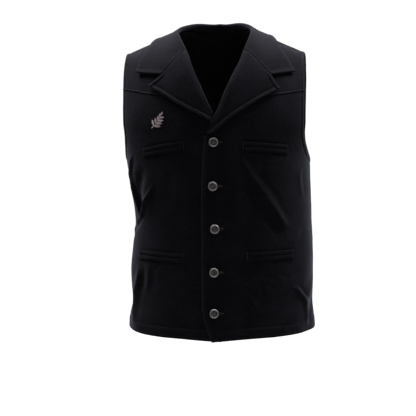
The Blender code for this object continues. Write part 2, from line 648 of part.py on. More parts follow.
def make_button(number):
    """Metal button: a turned dish with a raised rim on a short shank, its face along the cloth's normal."""
    spot = np.array([place(*BUTTONS[number - 1])])
    centre = cloth(spot, FRONT, front_lift(spot, LEFT) + CLOTH + SEAM_GAP)[0]
    normal = outward(spot[:, 0], spot[:, 1], FRONT)[0]
    aside = np.cross((0.0, 0.0, 1.0), normal)
    aside /= np.linalg.norm(aside)
    upward = np.cross(normal, aside)
    mesh_data = bmesh.new()
    rings = []
    for ring in BUTTON_RINGS:
        turns = [2 * math.pi * k / BUTTON_SIDES for k in range(BUTTON_SIDES)]
        spokes = [aside * math.cos(a) + upward * math.sin(a) for a in turns]
        rings.append([mesh_data.verts.new(centre + normal * ring.out + s * ring.radius) for s in spokes])
    top = mesh_data.verts.new(centre + normal * BUTTON_MIDDLE)
    mesh_data.faces.new(rings[0])
    for k in range(BUTTON_SIDES):
        n = (k + 1) % BUTTON_SIDES
        for low, high in zip(rings, rings[1:]):
            mesh_data.faces.new((low[k], low[n], high[n], high[k]))
        mesh_data.faces.new((rings[-1][k], rings[-1][n], top))
    return add_object(f"button_{number}", mesh_data, "metal", METAL)


def main():
    """Clears the scene and makes every piece of the vest."""
    for old in list(bpy.data.objects):
        bpy.data.objects.remove(old)
    panel("back", back_grid(), BACK)
    for side, half in HALVES.items():
        lower = front_grid(side)
        upper = yoke_grid(side, lower[-1])
        lower[-1] -= (0, SEAM_GAP / 2)
        panel(f"front_{half.name}", lower, FRONT, front_lift(lower, side))
        panel(f"front_yoke_{half.name}", upper, FRONT, front_lift(upper, side))
        make_lapel(side)
    make_collar()
    for pocket in POCKETS:
        make_pocket(pocket)
    for number in range(1, len(BUTTONS) + 1):
        make_button(number)


main()
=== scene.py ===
"""Looks of a western vest of black wool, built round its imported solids.

The vest stands open and hollow, as it is worn. Metres, +Z up. The front faces -Y and the wearer's left is +X.
A place on the cloth is (turn, rise): turn is the angle from the centre line in radians, and rise is the
distance along the cloth above the chest line. Every panel, lapel, welt and button is laid on that surface.
"""

from __future__ import annotations

import logging
import math
from dataclasses import dataclass
from enum import Enum, IntEnum
from functools import cached_property
from typing import NamedTuple, Sequence

import bpy
import numpy as np
from bpy.types import Material, Node, NodeSocket, NodeTree, Object
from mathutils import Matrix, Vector
from mathutils.bvhtree import BVHTree

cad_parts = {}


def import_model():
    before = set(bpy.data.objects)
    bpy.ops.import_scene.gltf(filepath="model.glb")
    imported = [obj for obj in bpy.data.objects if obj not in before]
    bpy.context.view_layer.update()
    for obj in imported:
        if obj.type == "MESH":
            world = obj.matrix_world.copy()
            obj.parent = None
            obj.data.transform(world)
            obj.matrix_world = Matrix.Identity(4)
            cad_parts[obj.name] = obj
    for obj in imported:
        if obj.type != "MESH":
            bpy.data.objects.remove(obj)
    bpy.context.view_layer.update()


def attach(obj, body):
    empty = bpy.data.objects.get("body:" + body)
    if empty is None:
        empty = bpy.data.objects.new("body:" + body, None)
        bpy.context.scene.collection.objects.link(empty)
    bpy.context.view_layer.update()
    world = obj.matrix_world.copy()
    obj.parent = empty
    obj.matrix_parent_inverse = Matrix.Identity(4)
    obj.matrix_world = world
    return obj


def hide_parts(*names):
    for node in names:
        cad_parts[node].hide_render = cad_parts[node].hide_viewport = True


LOG = logging.getLogger("western_vest")
Array = np.ndarray
Triple = tuple[float, float, float]


class Side(IntEnum):
    """Side of the wearer."""

    LEFT = 1
    RIGHT = -1

    @property
    def word(self) -> str:
        """The side in small letters, as piece names hold it."""
        return self.name.lower()


class Facing(IntEnum):
    """Front or back of the vest, as the sign of Y."""

    FRONT = -1
    BACK = 1


FRONT, BACK = Facing


class Edge(Enum):
    """An edge of a panel's grid. Rows run across from START to END, and upward from BOTTOM to TOP."""

    BOTTOM = "bottom"
    TOP = "top"
    START = "start"
    END = "end"


class Spot(NamedTuple):
    """A point of an outline as it shows: distance from the centre line towards its own side, and height."""

    across: float
    height: float


def drawn(*rows: tuple[float, ...], kind: type = Spot) -> tuple:
    """Rows of one kind from their millimetres."""
    return tuple(kind(*(size / 1000 for size in row)) for row in rows)


class Level(NamedTuple):
    """A level section of the body surface."""

    height: float
    half_width: float
    front_depth: float
    back_depth: float
    sway: float


class Drape(NamedTuple):
    """A large soft fold that the solids have too."""

    facing: int
    turn_deg: float
    height: float
    half_width_deg: float
    half_height: float
    lean_deg: float
    depth: float


class Crease(NamedTuple):
    """A finer crease between two spots. Its depth is below zero in a hollow, and bow bends it sideways."""

    across_from: float
    height_from: float
    across_to: float
    height_to: float
    half_width: float
    depth: float
    bow: float


class Hem(NamedTuple):
    """Height of the hem at a turn from the centre front or the centre back."""

    turn_deg: float
    left: float
    right: float
    back: float


class Station(NamedTuple):
    """Section of the collar's stand, at a share of the way from the gorge to the centre back."""

    share: float
    stand_height: float
    lean_deg: float
    drop_deg: float


# Small mathematics of curves


def smooth_curve(xs: Sequence[float], ys: Sequence[float], at: Array) -> Array:
    """Reads a smooth curve through points.

    Args:
        xs: Where the points lie, rising.
        ys: The points' values.
        at: Where the curve is read.

    Returns:
        The curve's values, in the shape of at.
    """
    xs, ys, at = (np.asarray(a, float) for a in (xs, ys, at))
    slopes = np.gradient(ys, xs)
    k = np.clip(np.searchsorted(xs, at) - 1, 0, len(xs) - 2)
    span = xs[k + 1] - xs[k]
    t = np.clip((at - xs[k]) / span, 0, 1)
    from_start = (1 + 2 * t) * (1 - t) ** 2 * ys[k] + t * (1 - t) ** 2 * span * slopes[k]
    return from_start + t**2 * (3 - 2 * t) * ys[k + 1] + t**2 * (t - 1) * span * slopes[k + 1]


def column(rows: Sequence[NamedTuple], name: str, key: str, at: Array) -> Array:
    """Reads one named column of a table smoothly, at values of its key column."""
    return smooth_curve([getattr(r, key) for r in rows], [getattr(r, name) for r in rows], at)


def smooth_step(at: Array, low: float, high: float) -> Array:
    """0 below low and 1 above high, turning smoothly between them."""
    t = np.clip((np.asarray(at, float) - low) / (high - low), 0, 1)
    return t * t * (3 - 2 * t)


def hump(at: Array, middle: float, half_width: float) -> Array:
    """A bell of height 1 round middle."""
    return np.exp(-(((np.asarray(at, float) - middle) / half_width) ** 2))


def lengths(points: Array) -> Array:
    """Distance travelled along a line of points, at each of them."""
    steps = np.linalg.norm(np.diff(np.asarray(points, float), axis=0), axis=1)
    return np.concatenate([[0], np.cumsum(steps)])


def lengths_across(points: Array) -> Array:
    """Length of each row of a grid of points."""
    return np.linalg.norm(np.diff(points, axis=1), axis=-1).sum(1)


def unit(vectors: Array) -> Array:
    """Vectors of length 1 in the same directions."""
    return vectors / np.maximum(np.linalg.norm(vectors, axis=-1, keepdims=True), 1e-12)


def nearest(shares: Array, share: float) -> int:
    """Number of the grid line whose share is nearest to one."""
    return int(np.abs(shares - share).argmin())


def join(*lines: Array) -> Array:
    """One line from several that meet end to end."""
    return np.concatenate([lines[0]] + [line[1:] for line in lines[1:]])


def smooth_spots(spots: Sequence[Spot], count: int = 60) -> list[Spot]:
    """Lays a smooth curve through spots.

    Args:
        spots: The spots, in order.
        count: How many steps the curve gets.

    Returns:
        Spots on the curve.
    """
    travelled = lengths(spots)
    at = np.linspace(0, travelled[-1], count + 1)
    across = smooth_curve(travelled, [s.across for s in spots], at)
    height = smooth_curve(travelled, [s.height for s in spots], at)
    return [Spot(x, z) for x, z in zip(across, height)]


def cut_at(line: Array, rise: float) -> tuple[Array, Array]:
    """Splits a rising line of places.

    Args:
        line: The places.
        rise: Where it is cut.

    Returns:
        The part below and the part above.
    """
    k = max(int(np.argmax(line[:, 1] > rise)), 1)
    share = (rise - line[k - 1, 1]) / (line[k, 1] - line[k - 1, 1])
    middle = line[k - 1] + (line[k] - line[k - 1]) * share
    return np.vstack([line[:k], middle]), np.vstack([middle, line[k:]])


def distance_to_line(points: Array, line: Array) -> Array:
    """Distance of each point of a grid to a line of points.

    Args:
        points: Grid of points, rows by columns by 3.
        line: The line's points, in order.

    Returns:
        Distances, rows by columns.
    """
    starts, steps = line[:-1], np.diff(line, axis=0)
    squared = np.maximum((steps**2).sum(-1), 1e-18)
    result = np.empty(points.shape[:2])
    for j, row in enumerate(points):
        offsets = row[:, None] - line[None]
        near = np.clip((offsets**2).sum(-1).argmin(1), 0, len(line) - 1)
        best = np.full(len(row), np.inf)
        for k in (np.maximum(near - 1, 0), np.minimum(near, len(steps) - 1)):
            t = np.clip(((row - starts[k]) * steps[k]).sum(-1) / squared[k], 0, 1)
            best = np.minimum(best, np.linalg.norm(row - starts[k] - steps[k] * t[:, None], axis=1))
        result[j] = best
    return result


@dataclass(frozen=True)
class Unevenness:
    """Smooth uneven values over space, the same on each run."""

    size: float
    seed: int
    cells: int = 24

    def at(self, points: Array) -> Array:
        """Reads the values.

        Args:
            points: Points in space.

        Returns:
            Values between -1 and 1.
        """
        table = np.random.default_rng(self.seed).uniform(-1, 1, (self.cells,) * 3)
        scaled = points / self.size
        cell = np.floor(scaled).astype(int)
        share = scaled - cell
        share = share * share * (3 - 2 * share)
        total = np.zeros(points.shape[:-1])
        for corner in np.ndindex(2, 2, 2):
            weight = np.prod(np.where(corner, share, 1 - share), axis=-1)
            index = (cell + corner) % self.cells
            total += weight * table[index[..., 0], index[..., 1], index[..., 2]]
        return total


# The body surface and the cut


@dataclass(frozen=True)
class BodyForm:
    """The surface that the cloth follows: level sections, with an arch over the shoulders above the chest."""

    chest_line: float = -0.200
    arch_radius: float = 0.160
    ridge_top: float = 0.0222
    ridge_slope: float = 0.45
    ridge_round: float = 0.040
    top_half_width: float = 0.215
    section_power: float = 2.4
    front_arch_power: float = 2.2
    back_arch_power: float = 2.8
    crease_radius: float = 0.165
    crease_hook: float = 0.40
    levels: tuple[Level, ...] = drawn(
        (-700, 204.5, 133, 127, 7.5), (-645, 202.5, 132, 126, 7.5), (-621.6, 200.8, 131.5, 124.5, 7.2),
        (-586.4, 195, 130.8, 122.5, 8.5), (-551.2, 195.8, 130.2, 120, 8.5), (-516, 197, 129, 117.8, 8.2),
        (-480.8, 196, 128.2, 116.4, 9), (-445.6, 193.5, 127.5, 115.8, 9.5),
        (-410.4, 191.2, 127.4, 116, 10), (-380, 191.8, 127.6, 117.5, 8.5),
        (-340, 194.8, 128.5, 121, 4.2), (-304.8, 196.2, 129, 124, 1), (-269.6, 199, 129, 126.2, -1.5),
        (-235, 205, 128.5, 127.5, -2.7), (-200, 212, 128, 128, -3),
        kind=Level,
    )
    drapes: tuple[Drape, ...] = (
        Drape(FRONT, -74, -0.395, 7, 0.045, 12, -0.0060),
        Drape(FRONT, -58, -0.370, 8, 0.070, -16, 0.0035),
        Drape(FRONT, 34, -0.360, 9, 0.110, 14, -0.0035),
        Drape(FRONT, 52, -0.340, 10, 0.110, 16, 0.0030),
        Drape(FRONT, 66, -0.590, 7, 0.060, 22, 0.0040),
        Drape(FRONT, 78, -0.610, 6, 0.060, 12, -0.0040),
        Drape(FRONT, -72, -0.570, 8, 0.080, -8, 0.0040),
        Drape(FRONT, -40, -0.560, 9, 0.100, -10, -0.0025),
        Drape(BACK, 24, -0.520, 9, 0.110, 6, -0.0040),
        Drape(BACK, -20, -0.500, 9, 0.120, -7, -0.0045),
        Drape(BACK, 3, -0.470, 8, 0.110, 2, 0.0035),
        Drape(BACK, 62, -0.400, 9, 0.060, -14, -0.0040),
        Drape(BACK, -64, -0.420, 9, 0.060, 14, -0.0045),
    )
    front_creases: tuple[Crease, ...] = drawn(
        # The wearer's right side: a folded V at the waist and the pull above it
        (-134, -334, -171, -412, 4, 6.6, 3), (-182, -268, -184, -322, 5, 3.4, -3),
        (-184, -308, -172, -410, 4.6, 6, 5), (-160, -300, -166, -376, 11, -6, 0),
        (-170, -404, -184, -442, 5.8, 3.8, 2), (-163, -508, -172, -564, 7.5, 5.2, 3),
        (-171, -554, -177, -624, 7.8, 4.2, -2), (-143, -496, -146, -556, 6.8, 2.6, 2),
        (-90, -300, -104, -372, 10, -1, 4), (-60, -350, -48, -410, 10, 0.9, 2),
        # The wearer's left side: the long drag from the chest pocket to the waist
        (59, -270, 83, -314, 6, 2.2, 1), (80, -306, 118, -362, 7.8, 3.1, 2),
        (113, -354, 149, -414, 7.8, 3.1, -2), (64, -328, 96, -378, 10, -3.6, 2),
        (90, -366, 136, -440, 11, -3.8, 4), (101, -268, 102, -302, 8, -1.3, 0),
        (46, -318, 48, -374, 8, 1, 1), (168, -546, 188, -582, 4.8, 4.4, 3),
        (184, -570, 197, -632, 7.5, 4.2, 3), (64, -552, 98, -596, 3.5, 1.3, 2),
        (99, -532, 100, -572, 7, -1.3, 0), (106, -537, 130, -546, 3.5, -0.9, 1),
        (140, -518, 158, -524, 3, -0.9, 1), (54, -530, 67, -552, 4, -0.9, 1),
        (176, -300, 182, -352, 6, 2, -3), (178, -420, 160, -452, 6, 1.8, 2),
        # Pulls at the buttons
        (10, -330, 44, -342, 4, 0.9, 1), (12, -418, 50, -410, 4.5, 0.9, -1),
        (10, -513, 40, -522, 4.5, 0.9, 1), (12, -599, 44, -592, 4.5, 0.8, -1),
        kind=Crease,
    )
    back_creases: tuple[Crease, ...] = drawn(
        # Pulls at the waist, from the armholes and above the hem
        (176, -300, 120, -352, 7, 4.9, 4), (-180, -310, -128, -358, 7, 4.6, -4),
        (160, -240, 118, -292, 8, -3.5, 4), (-164, -236, -112, -300, 8, -3.9, -4),
        (64, -386, -10, -402, 7.5, 5.3, 6), (-30, -424, -108, -408, 7, 4.7, -5),
        (130, -420, 66, -436, 7, 4.2, 4), (30, -446, -44, -456, 8.5, -3.9, 4),
        (104, -500, 112, -612, 9, 4.6, 4), (-92, -496, -102, -604, 9, 4.9, -4),
        (34, -520, 40, -624, 10, -3.5, 3), (-36, -530, -38, -628, 9, 3.2, 2),
        (46, -100, 58, -210, 12, -2.1, 3), (-40, -104, -50, -220, 12, 2.1, -3),
        kind=Crease,
    )
    swell: Unevenness = Unevenness(0.034, 7)
    ripple: Unevenness = Unevenness(0.0125, 11)
    swell_depth: float = 0.00055
    ripple_depth: float = 0.00016

    @property
    def ridge(self) -> float:
        """Rise of the shoulder ridge."""
        return self.arch_radius * math.pi / 2

    def ridge_height(self, x: Array) -> Array:
        """Height of the shoulder ridge at the distance x from the body's axis."""
        return self.ridge_top - self.ridge_slope * (np.sqrt(x**2 + self.ridge_round**2) - self.ridge_round)

    def away_from_side(self, turn: Array) -> Array:
        """1 on the panels, falling to 0 at the side seams, so that front and back meet there."""
        return 1 - smooth_step(np.abs(turn), math.radians(82), math.radians(89.5))

    def drape_depth(self, turn: Array, height: Array, facing: Array) -> Array:
        """Adds up the large soft folds.

        Args:
            turn: Angles from the centre line.
            height: Heights.
            facing: FRONT or BACK of each.

        Returns:
            How far the folds push the cloth out.
        """
        depth = np.zeros_like(turn)
        for d in self.drapes:
            along = (height - d.height) / d.half_height
            line = math.radians(d.turn_deg) + math.radians(d.lean_deg) * along
            across = (turn - line) / math.radians(d.half_width_deg)
            depth += np.where(facing == d.facing, d.depth, 0) * np.exp(-(across**2) - along**2)
        return depth * self.away_from_side(turn)

    def point(self, turn: Array, rise: Array, facing: Array) -> Array:
        """Points of the plain surface. A rise past the ridge lies on the other side.

        Args:
            turn: Angles from the centre line.
            rise: Distances above the chest line, along the cloth.
            facing: FRONT or BACK, or an array of them.

        Returns:
            Points, in the arguments' shape with a last axis of 3.
        """
        turn, rise, facing = np.broadcast_arrays(
            np.asarray(turn, float), np.asarray(rise, float), np.asarray(facing, int)
        )
        arch = np.maximum(rise, 0) / self.arch_radius
        past_ridge = arch > math.pi / 2
        facing = np.where(past_ridge, -facing, facing)
        arch = np.where(past_ridge, math.pi - arch, arch)
        height = self.chest_line + np.minimum(rise, 0)
        power = np.where(facing == FRONT, self.front_arch_power, self.back_arch_power)
        reach = (np.abs(np.cos(arch)) ** power + np.abs(np.sin(arch)) ** power) ** (-1 / power)
        level_share, climb = reach * np.cos(arch), reach * np.sin(arch)
        half_width = column(self.levels, "half_width", "height", height)
        half_width = half_width + (self.top_half_width - self.levels[-1].half_width) * climb
        depth = np.where(
            facing == FRONT,
            column(self.levels, "front_depth", "height", height),
            column(self.levels, "back_depth", "height", height),
        )
        power = self.section_power
        across, along = np.abs(np.sin(turn) / half_width), np.abs(np.cos(turn) / depth)
        radius = (across**power + along**power) ** (-1 / power)
        radius = radius + self.drape_depth(turn, height, facing) * smooth_step(-rise, 0.0, 0.05)
        x = radius * np.sin(turn)
        y = facing * radius * np.cos(turn) * level_share
        z = height + (self.ridge_height(x) - self.chest_line) * climb
        return np.stack([x + column(self.levels, "sway", "height", height), y, z], axis=-1)

    def outward(self, turn: Array, rise: Array, facing: Array) -> Array:
        """Unit normals of the plain surface.

        Args:
            turn: Angles from the centre line.
            rise: Distances above the chest line, along the cloth.
            facing: FRONT or BACK of each.

        Returns:
            Normals that point away from the wearer.
        """
        step = 0.0004
        across = self.point(turn + step, rise, facing) - self.point(turn - step, rise, facing)
        upward = self.point(turn, rise + step, facing) - self.point(turn, rise - step, facing)
        return unit(np.cross(across, upward) * -np.asarray(facing, float)[..., None])

    def place(self, x: float, z: float, facing: int = FRONT) -> tuple[float, float]:
        """Finds a place from where it shows.

        Args:
            x: Distance from the centre, towards the wearer's left.
            z: Height.
            facing: Whether it shows from the front or from behind.

        Returns:
            Its turn and rise.
        """
        height = min(z, self.chest_line)
        x = x - float(column(self.levels, "sway", "height", height))
        climb = min(max(z - self.chest_line, 0) / (float(self.ridge_height(x)) - self.chest_line), 1.0)
        half_width = float(column(self.levels, "half_width", "height", height))
        half_width += (self.top_half_width - self.levels[-1].half_width) * climb
        name = "front_depth" if facing == FRONT else "back_depth"
        depth = float(column(self.levels, name, "height", height))
        power = self.front_arch_power if facing == FRONT else self.back_arch_power
        level_share = (1 - climb**power) ** (1 / power)
        inside = max(1 - abs(x / half_width) ** self.section_power, 1e-6)
        turn = math.atan2(x, depth * inside ** (1 / self.section_power))
        if z > self.chest_line:
            return turn, self.arch_radius * math.atan2(climb, level_share)
        return turn, z - self.chest_line

    def places(self, spots: Sequence[Spot], side: int = Side.LEFT, facing: int = FRONT) -> Array:
        """Places of spots on one side of the vest."""
        return np.array([self.place(side * s.across, s.height, facing) for s in spots])

    @cached_property
    def crease_lines(self) -> list[tuple[int, Crease, Array, Array]]:
        """Lays the creases in the flattened cloth.

        Returns:
            Facing, sizes, start and end of each crease.
        """
        lines = []
        for facing, creases in ((FRONT, self.front_creases), (BACK, self.back_creases)):
            for c in creases:
                spots = ((c.across_from, c.height_from), (c.across_to, c.height_to))
                start, end = (np.array(self.place(x, z, facing)) * (self.crease_radius, 1) for x, z in spots)
                lines.append((facing, c, start, end))
        return lines

    def crease_depth(self, turn: Array, rise: Array, facing: Array) -> Array:
        """Adds up the finer creases. Each has a shallow hollow along one side.

        Args:
            turn: Angles from the centre line.
            rise: Distances above the chest line, along the cloth.
            facing: FRONT or BACK.

        Returns:
            How far the creases push the cloth out.
        """
        turn, rise, facing = np.broadcast_arrays(turn, rise, np.asarray(facing, int))
        past_ridge = rise > self.ridge
        facing = np.where(past_ridge, -facing, facing)
        flat_rise = np.where(past_ridge, 2 * self.ridge - rise, rise)
        flat = np.stack([turn * self.crease_radius, flat_rise], axis=-1)
        depth = np.zeros(turn.shape)
        for creased, c, start, end in self.crease_lines:
            length = float(np.hypot(*(end - start)))
            along = (end - start) / length
            offset = flat - start
            share = (offset @ along) / length
            sideways = offset @ np.array([-along[1], along[0]]) - c.bow * 4 * share * (1 - share)
            fade = smooth_step(share, -0.18, 0.30) * (1 - smooth_step(share, 0.62, 1.20))
            shape = hump(sideways, 0, c.half_width)
            shape -= self.crease_hook * hump(sideways, 1.7 * c.half_width, c.half_width)
            depth += np.where(facing == creased, c.depth, 0) * shape * fade
        return depth * self.away_from_side(turn)

    def cloth(self, places: Array, facing: Array, out: Array) -> Array:
        """Points at the distance out from the inner face of the creased, uneven cloth.

        Args:
            places: Array of (turn, rise) places.
            facing: FRONT or BACK.
            out: Distance outward, one for all or one each.

        Returns:
            Points, in the shape of places with a last axis of 3.
        """
        turn, rise = places[..., 0], places[..., 1]
        plain = self.point(turn, rise, facing)
        lift = self.crease_depth(turn, rise, facing) + np.broadcast_to(out, turn.shape)
        lift = lift + self.swell.at(plain) * self.swell_depth + self.ripple.at(plain) * self.ripple_depth
        return plain + self.outward(turn, rise, np.broadcast_to(facing, turn.shape)) * lift[..., None]


@dataclass(frozen=True)
class Half:
    """Outlines of one half's lapel and collar as they show from the front, and its turns at the seams."""

    roll: tuple[Spot, ...]
    lapel_edge: tuple[Spot, ...]
    gorge: tuple[Spot, ...]
    lapel_top: tuple[Spot, ...]
    collar_bottom: tuple[Spot, ...]
    collar_edge: tuple[Spot, ...]
    collar_on_ridge: float
    neck_deg: float
    front_armhole_deg: float
    back_armhole_deg: float
    tip_deg: float
    spring: float

    def armhole_deg(self, facing: int) -> float:
        """Turn of the armhole's edge at the chest line."""
        return self.front_armhole_deg if facing == FRONT else self.back_armhole_deg


LEFT_HALF = Half(
    roll=drawn(
        (-12.5, -218.5), (-2.9, -192), (7.9, -173.2), (25.5, -129.6), (41.2, -94.9), (57.1, -60.4),
        (61.6, -44.5),
    ),
    lapel_edge=drawn(
        (-8, -218.6), (-0.5, -214), (32.7, -186.2), (78.2, -156.2), (100.1, -143.2), (135.2, -124.5),
    ),
    gorge=drawn((61.6, -44.5), (82.7, -60.9), (98.8, -78.1), (117.5, -97.5)),
    lapel_top=drawn((117.5, -97.5), (125.7, -112.3), (135.2, -124.5)),
    collar_bottom=drawn((117.5, -97.5), (138.9, -93.5), (164.9, -89.9)),
    collar_edge=drawn(
        (164.9, -89.9), (158.5, -78.2), (152.3, -67.4), (144.2, -53.7), (137.4, -43.7), (132.3, -36.5),
    ),
    collar_on_ridge=0.113,
    neck_deg=33.0,
    front_armhole_deg=69.3,
    back_armhole_deg=69.6,
    tip_deg=68.4,
    spring=0.0016,
)
RIGHT_HALF = Half(
    roll=drawn(
        (4.5, -179.1), (8.5, -170), (19.2, -147.8), (39.5, -104.2), (51.4, -77.1), (57, -61.5),
        (64.5, -45),
    ),
    lapel_edge=drawn(
        (7.6, -191.2), (22.8, -182.5), (38.7, -174.8), (70.4, -159.2), (105.7, -138.2), (141, -119),
    ),
    gorge=drawn((64.5, -45), (82.7, -62), (97.5, -78.5), (113.9, -96.6)),
    lapel_top=drawn((113.9, -96.6), (124.5, -106.2), (141, -119)),
    collar_bottom=drawn((113.9, -96.6), (135.9, -95), (167.2, -92.5)),
    collar_edge=drawn(
        (167.2, -92.5), (163, -73.3), (157.5, -61.4), (151.4, -50.9), (146.7, -43.3), (143.3, -35.7),
    ),
    collar_on_ridge=0.131,
    neck_deg=35.2,
    front_armhole_deg=73.3,
    back_armhole_deg=74.0,
    tip_deg=72.4,
    spring=0.0034,
)


@dataclass(frozen=True)
class Pattern:
    """The cut lines of the vest's pieces, as lines of places."""

    form: BodyForm
    cloth: float = 0.0026
    seam_lap: float = 0.0008
    rest_gap: float = 0.0003
    lap_gap: float = 0.0004
    underarm: float = -0.275
    shoulder_deg: float = 71.0
    back_neck: float = -0.0060
    front_edge: tuple[Spot, ...] = drawn(
        (-4.3, -662.3), (-10.2, -646.6), (-16, -627.6), (-21.3, -613.2), (-24.5, -591.5), (-25.4, -549),
        (-26.2, -442.8), (-26.6, -357.8), (-26.1, -315.6), (-24.8, -284), (-22.1, -242), (-19.6, -223.1),
    )
    under_edge: tuple[Spot, ...] = drawn((-16, -662), (-16, -215), (1.3, -185))
    yoke_seam: tuple[Spot, ...] = drawn(
        (0, -138.5), (110, -137.5), (141, -135.5), (172, -130.6), (200, -126.2),
    )
    collar_back_edge: tuple[Spot, ...] = drawn((100, -30), (60, -44), (0, -48))
    hem_table: tuple[Hem, ...] = (
        Hem(-15, -0.6640, -0.6610, -0.6400),
        Hem(0, -0.6600, -0.6600, -0.6400),
        Hem(30, -0.6535, -0.6560, -0.6400),
        Hem(60, -0.6480, -0.6515, -0.6400),
        Hem(80, -0.6430, -0.6435, -0.6400),
        Hem(90, -0.6400, -0.6400, -0.6400),
    )
    fine: int = 90

    @property
    def shoulder_seam(self) -> float:
        """Rise of the shoulder seam on the front, forward of the ridge."""
        return self.form.arch_radius * math.radians(self.shoulder_deg)

    def half(self, side: int) -> Half:
        """The outlines of one side."""
        return LEFT_HALF if side == Side.LEFT else RIGHT_HALF

    def hem(self, turn_from: float, turn_to: float, name: str, side: int = Side.LEFT) -> Array:
        """The hem between two turns.

        Args:
            turn_from: Turn of its start.
            turn_to: Turn of its end.
            name: Column of the hem's table.
            side: Side of the vest.

        Returns:
            Its places.
        """
        turns = np.linspace(turn_from, turn_to, self.fine)
        heights = column(self.hem_table, name, "turn_deg", np.degrees(side * turns))
        return np.stack([turns, heights - self.form.chest_line], axis=-1)

    def side_seam(self, side: int) -> Array:
        """The side seam's edge.

        Args:
            side: Side of the vest.

        Returns:
            Its places, from the hem to the underarm.
        """
        turn = side * (math.pi / 2 + self.seam_lap / 2 / self.form.levels[0].half_width)
        rises = np.linspace(self.hem_table[-1].left, self.underarm, self.fine) - self.form.chest_line
        return np.stack([np.full_like(rises, turn), rises], axis=-1)

    def armhole(self, side: int, facing: int, top_rise: float) -> Array:
        """The armhole's edge: a quarter round, then the arch.

        Args:
            side: Side of the vest.
            facing: FRONT or BACK.
            top_rise: Rise of its end.

        Returns:
            Its places, from the underarm up.
        """
        half = self.half(side)
        start = self.side_seam(side)[-1, 0]
        edge = side * math.radians(half.armhole_deg(facing))
        tip = side * math.radians(half.tip_deg)
        depth = self.underarm - self.form.chest_line
        quarter = np.radians(np.arange(0, 91, 3))
        line = [(start + (edge - start) * math.sin(a), depth * math.cos(a)) for a in quarter]
        reach = min(top_rise, self.form.ridge)
        rises = np.linspace(0, top_rise, self.fine)[1:]
        line += [(edge + (tip - edge) * min(r / reach, 1) ** 3, r) for r in rises]
        return np.array(line)

    def yoke_seam_height(self, across: float) -> float:
        """Height of the yoke seam at a distance from the centre line."""
        return float(column(self.yoke_seam, "height", "across", across))

    def roll(self, side: int) -> tuple[Array, Array]:
        """The front's edge under the lapel.

        Args:
            side: Side of the vest.

        Returns:
            The part below the yoke seam, and the part above.
        """
        spots = smooth_spots(self.half(side).roll)
        line = self.form.places(spots, side)
        crossing = next(s for s in spots if s.height > self.yoke_seam_height(s.across))
        seam = self.form.place(side * crossing.across, self.yoke_seam_height(crossing.across))
        return cut_at(line, seam[1])

    def free_edge(self, side: int) -> Array:
        """The free edge of a front.

        Args:
            side: Side of the vest.

        Returns:
            Its places, from the hem to the foot of the lapel.
        """
        if side == Side.LEFT:
            return self.form.places(smooth_spots(self.front_edge, self.fine))
        low, high, foot = self.under_edge
        heights = np.linspace(low.height, high.height, self.fine)
        edge = [self.form.place(-low.across, z) for z in heights]
        return np.array([*edge, self.form.place(-foot.across, foot.height)])

    def neck(self, side: int) -> tuple[Array, Array]:
        """The neck seam.

        Args:
            side: Side of the vest.

        Returns:
            The places up the front from the gorge to the shoulder seam, and from there to the centre back,
            with rises measured up the back.
        """
        half = self.half(side)
        gorge = np.array(self.form.place(side * half.gorge[0].across, half.gorge[0].height))
        shoulder = np.array((side * math.radians(half.neck_deg), self.shoulder_seam))
        share = np.linspace(0, 1, self.fine)[:, None]
        front = gorge + (shoulder - gorge) * share + np.array((side * 0.018, 0.0)) * np.sin(math.pi * share)
        centre = self.form.place(0.0, self.back_neck, BACK)[1]
        past = 2 * self.form.ridge - self.shoulder_seam
        angles = np.linspace(math.pi / 2, 0, self.fine)
        rises = centre + (past - centre) * (1 - np.cos(angles))
        return front, np.stack([shoulder[0] * np.sin(angles), rises], axis=-1)

    def up_the_back(self, line: Array) -> Array:
        """Places on the front written with rises measured up the back, past the ridge."""
        return np.stack([line[:, 0], 2 * self.form.ridge - line[:, 1]], axis=-1)

    def front_lift(self, x: Array, side: int) -> Array:
        """How far a front is raised at x: the left one is, where it lies over the right one."""
        raised = self.cloth + self.lap_gap if side == Side.LEFT else 0.0
        return raised * (1 - smooth_step(x, 0.022, 0.070))

    def front_faces(self, grid: Grid, side: int) -> tuple[Array, Array]:
        """Faces of a panel of one front.

        Args:
            grid: Its grid.
            side: Side of the vest.

        Returns:
            The inner and the outer face.
        """
        plain = self.form.point(grid.places[..., 0], grid.places[..., 1], FRONT)
        lift = self.front_lift(plain[..., 0], side)
        low = self.form.cloth(grid.places, FRONT, lift)
        return low, self.form.cloth(grid.places, FRONT, lift + self.cloth)


@dataclass(frozen=True)
class Line:
    """A line of places, with the share of the way at each of them and at its corners."""

    places: Array
    shares: Array
    knots: tuple[float, ...] = ()

    def at(self, share: Array) -> Array:
        """Places at the given shares."""
        return np.stack([np.interp(share, self.shares, self.places[:, k]) for k in (0, 1)], axis=-1)


def line_of(
    form: BodyForm, facing: int, segments: Sequence[Array], knots: Sequence[float] | None = None
) -> Line:
    """A line from segments that meet end to end.

    Args:
        form: The surface that it lies on.
        facing: FRONT or BACK.
        segments: Lines of places.
        knots: The shares at which segments meet. Left out, they follow the real lengths.

    Returns:
        The whole line.
    """
    sizes = [lengths(form.point(s[:, 0], s[:, 1], facing)) for s in segments]
    if knots is None:
        ends = np.cumsum([size[-1] for size in sizes])
        knots = ends[:-1] / ends[-1]
    bounds = [0.0, *knots, 1.0]
    shares = [low + (high - low) * size / size[-1] for low, high, size in zip(bounds, bounds[1:], sizes)]
    return Line(join(*segments), join(*shares), tuple(knots))


class Grid(NamedTuple):
    """A grid of places, and each one's shares across and upward."""

    places: Array
    across: Array
    upward: Array


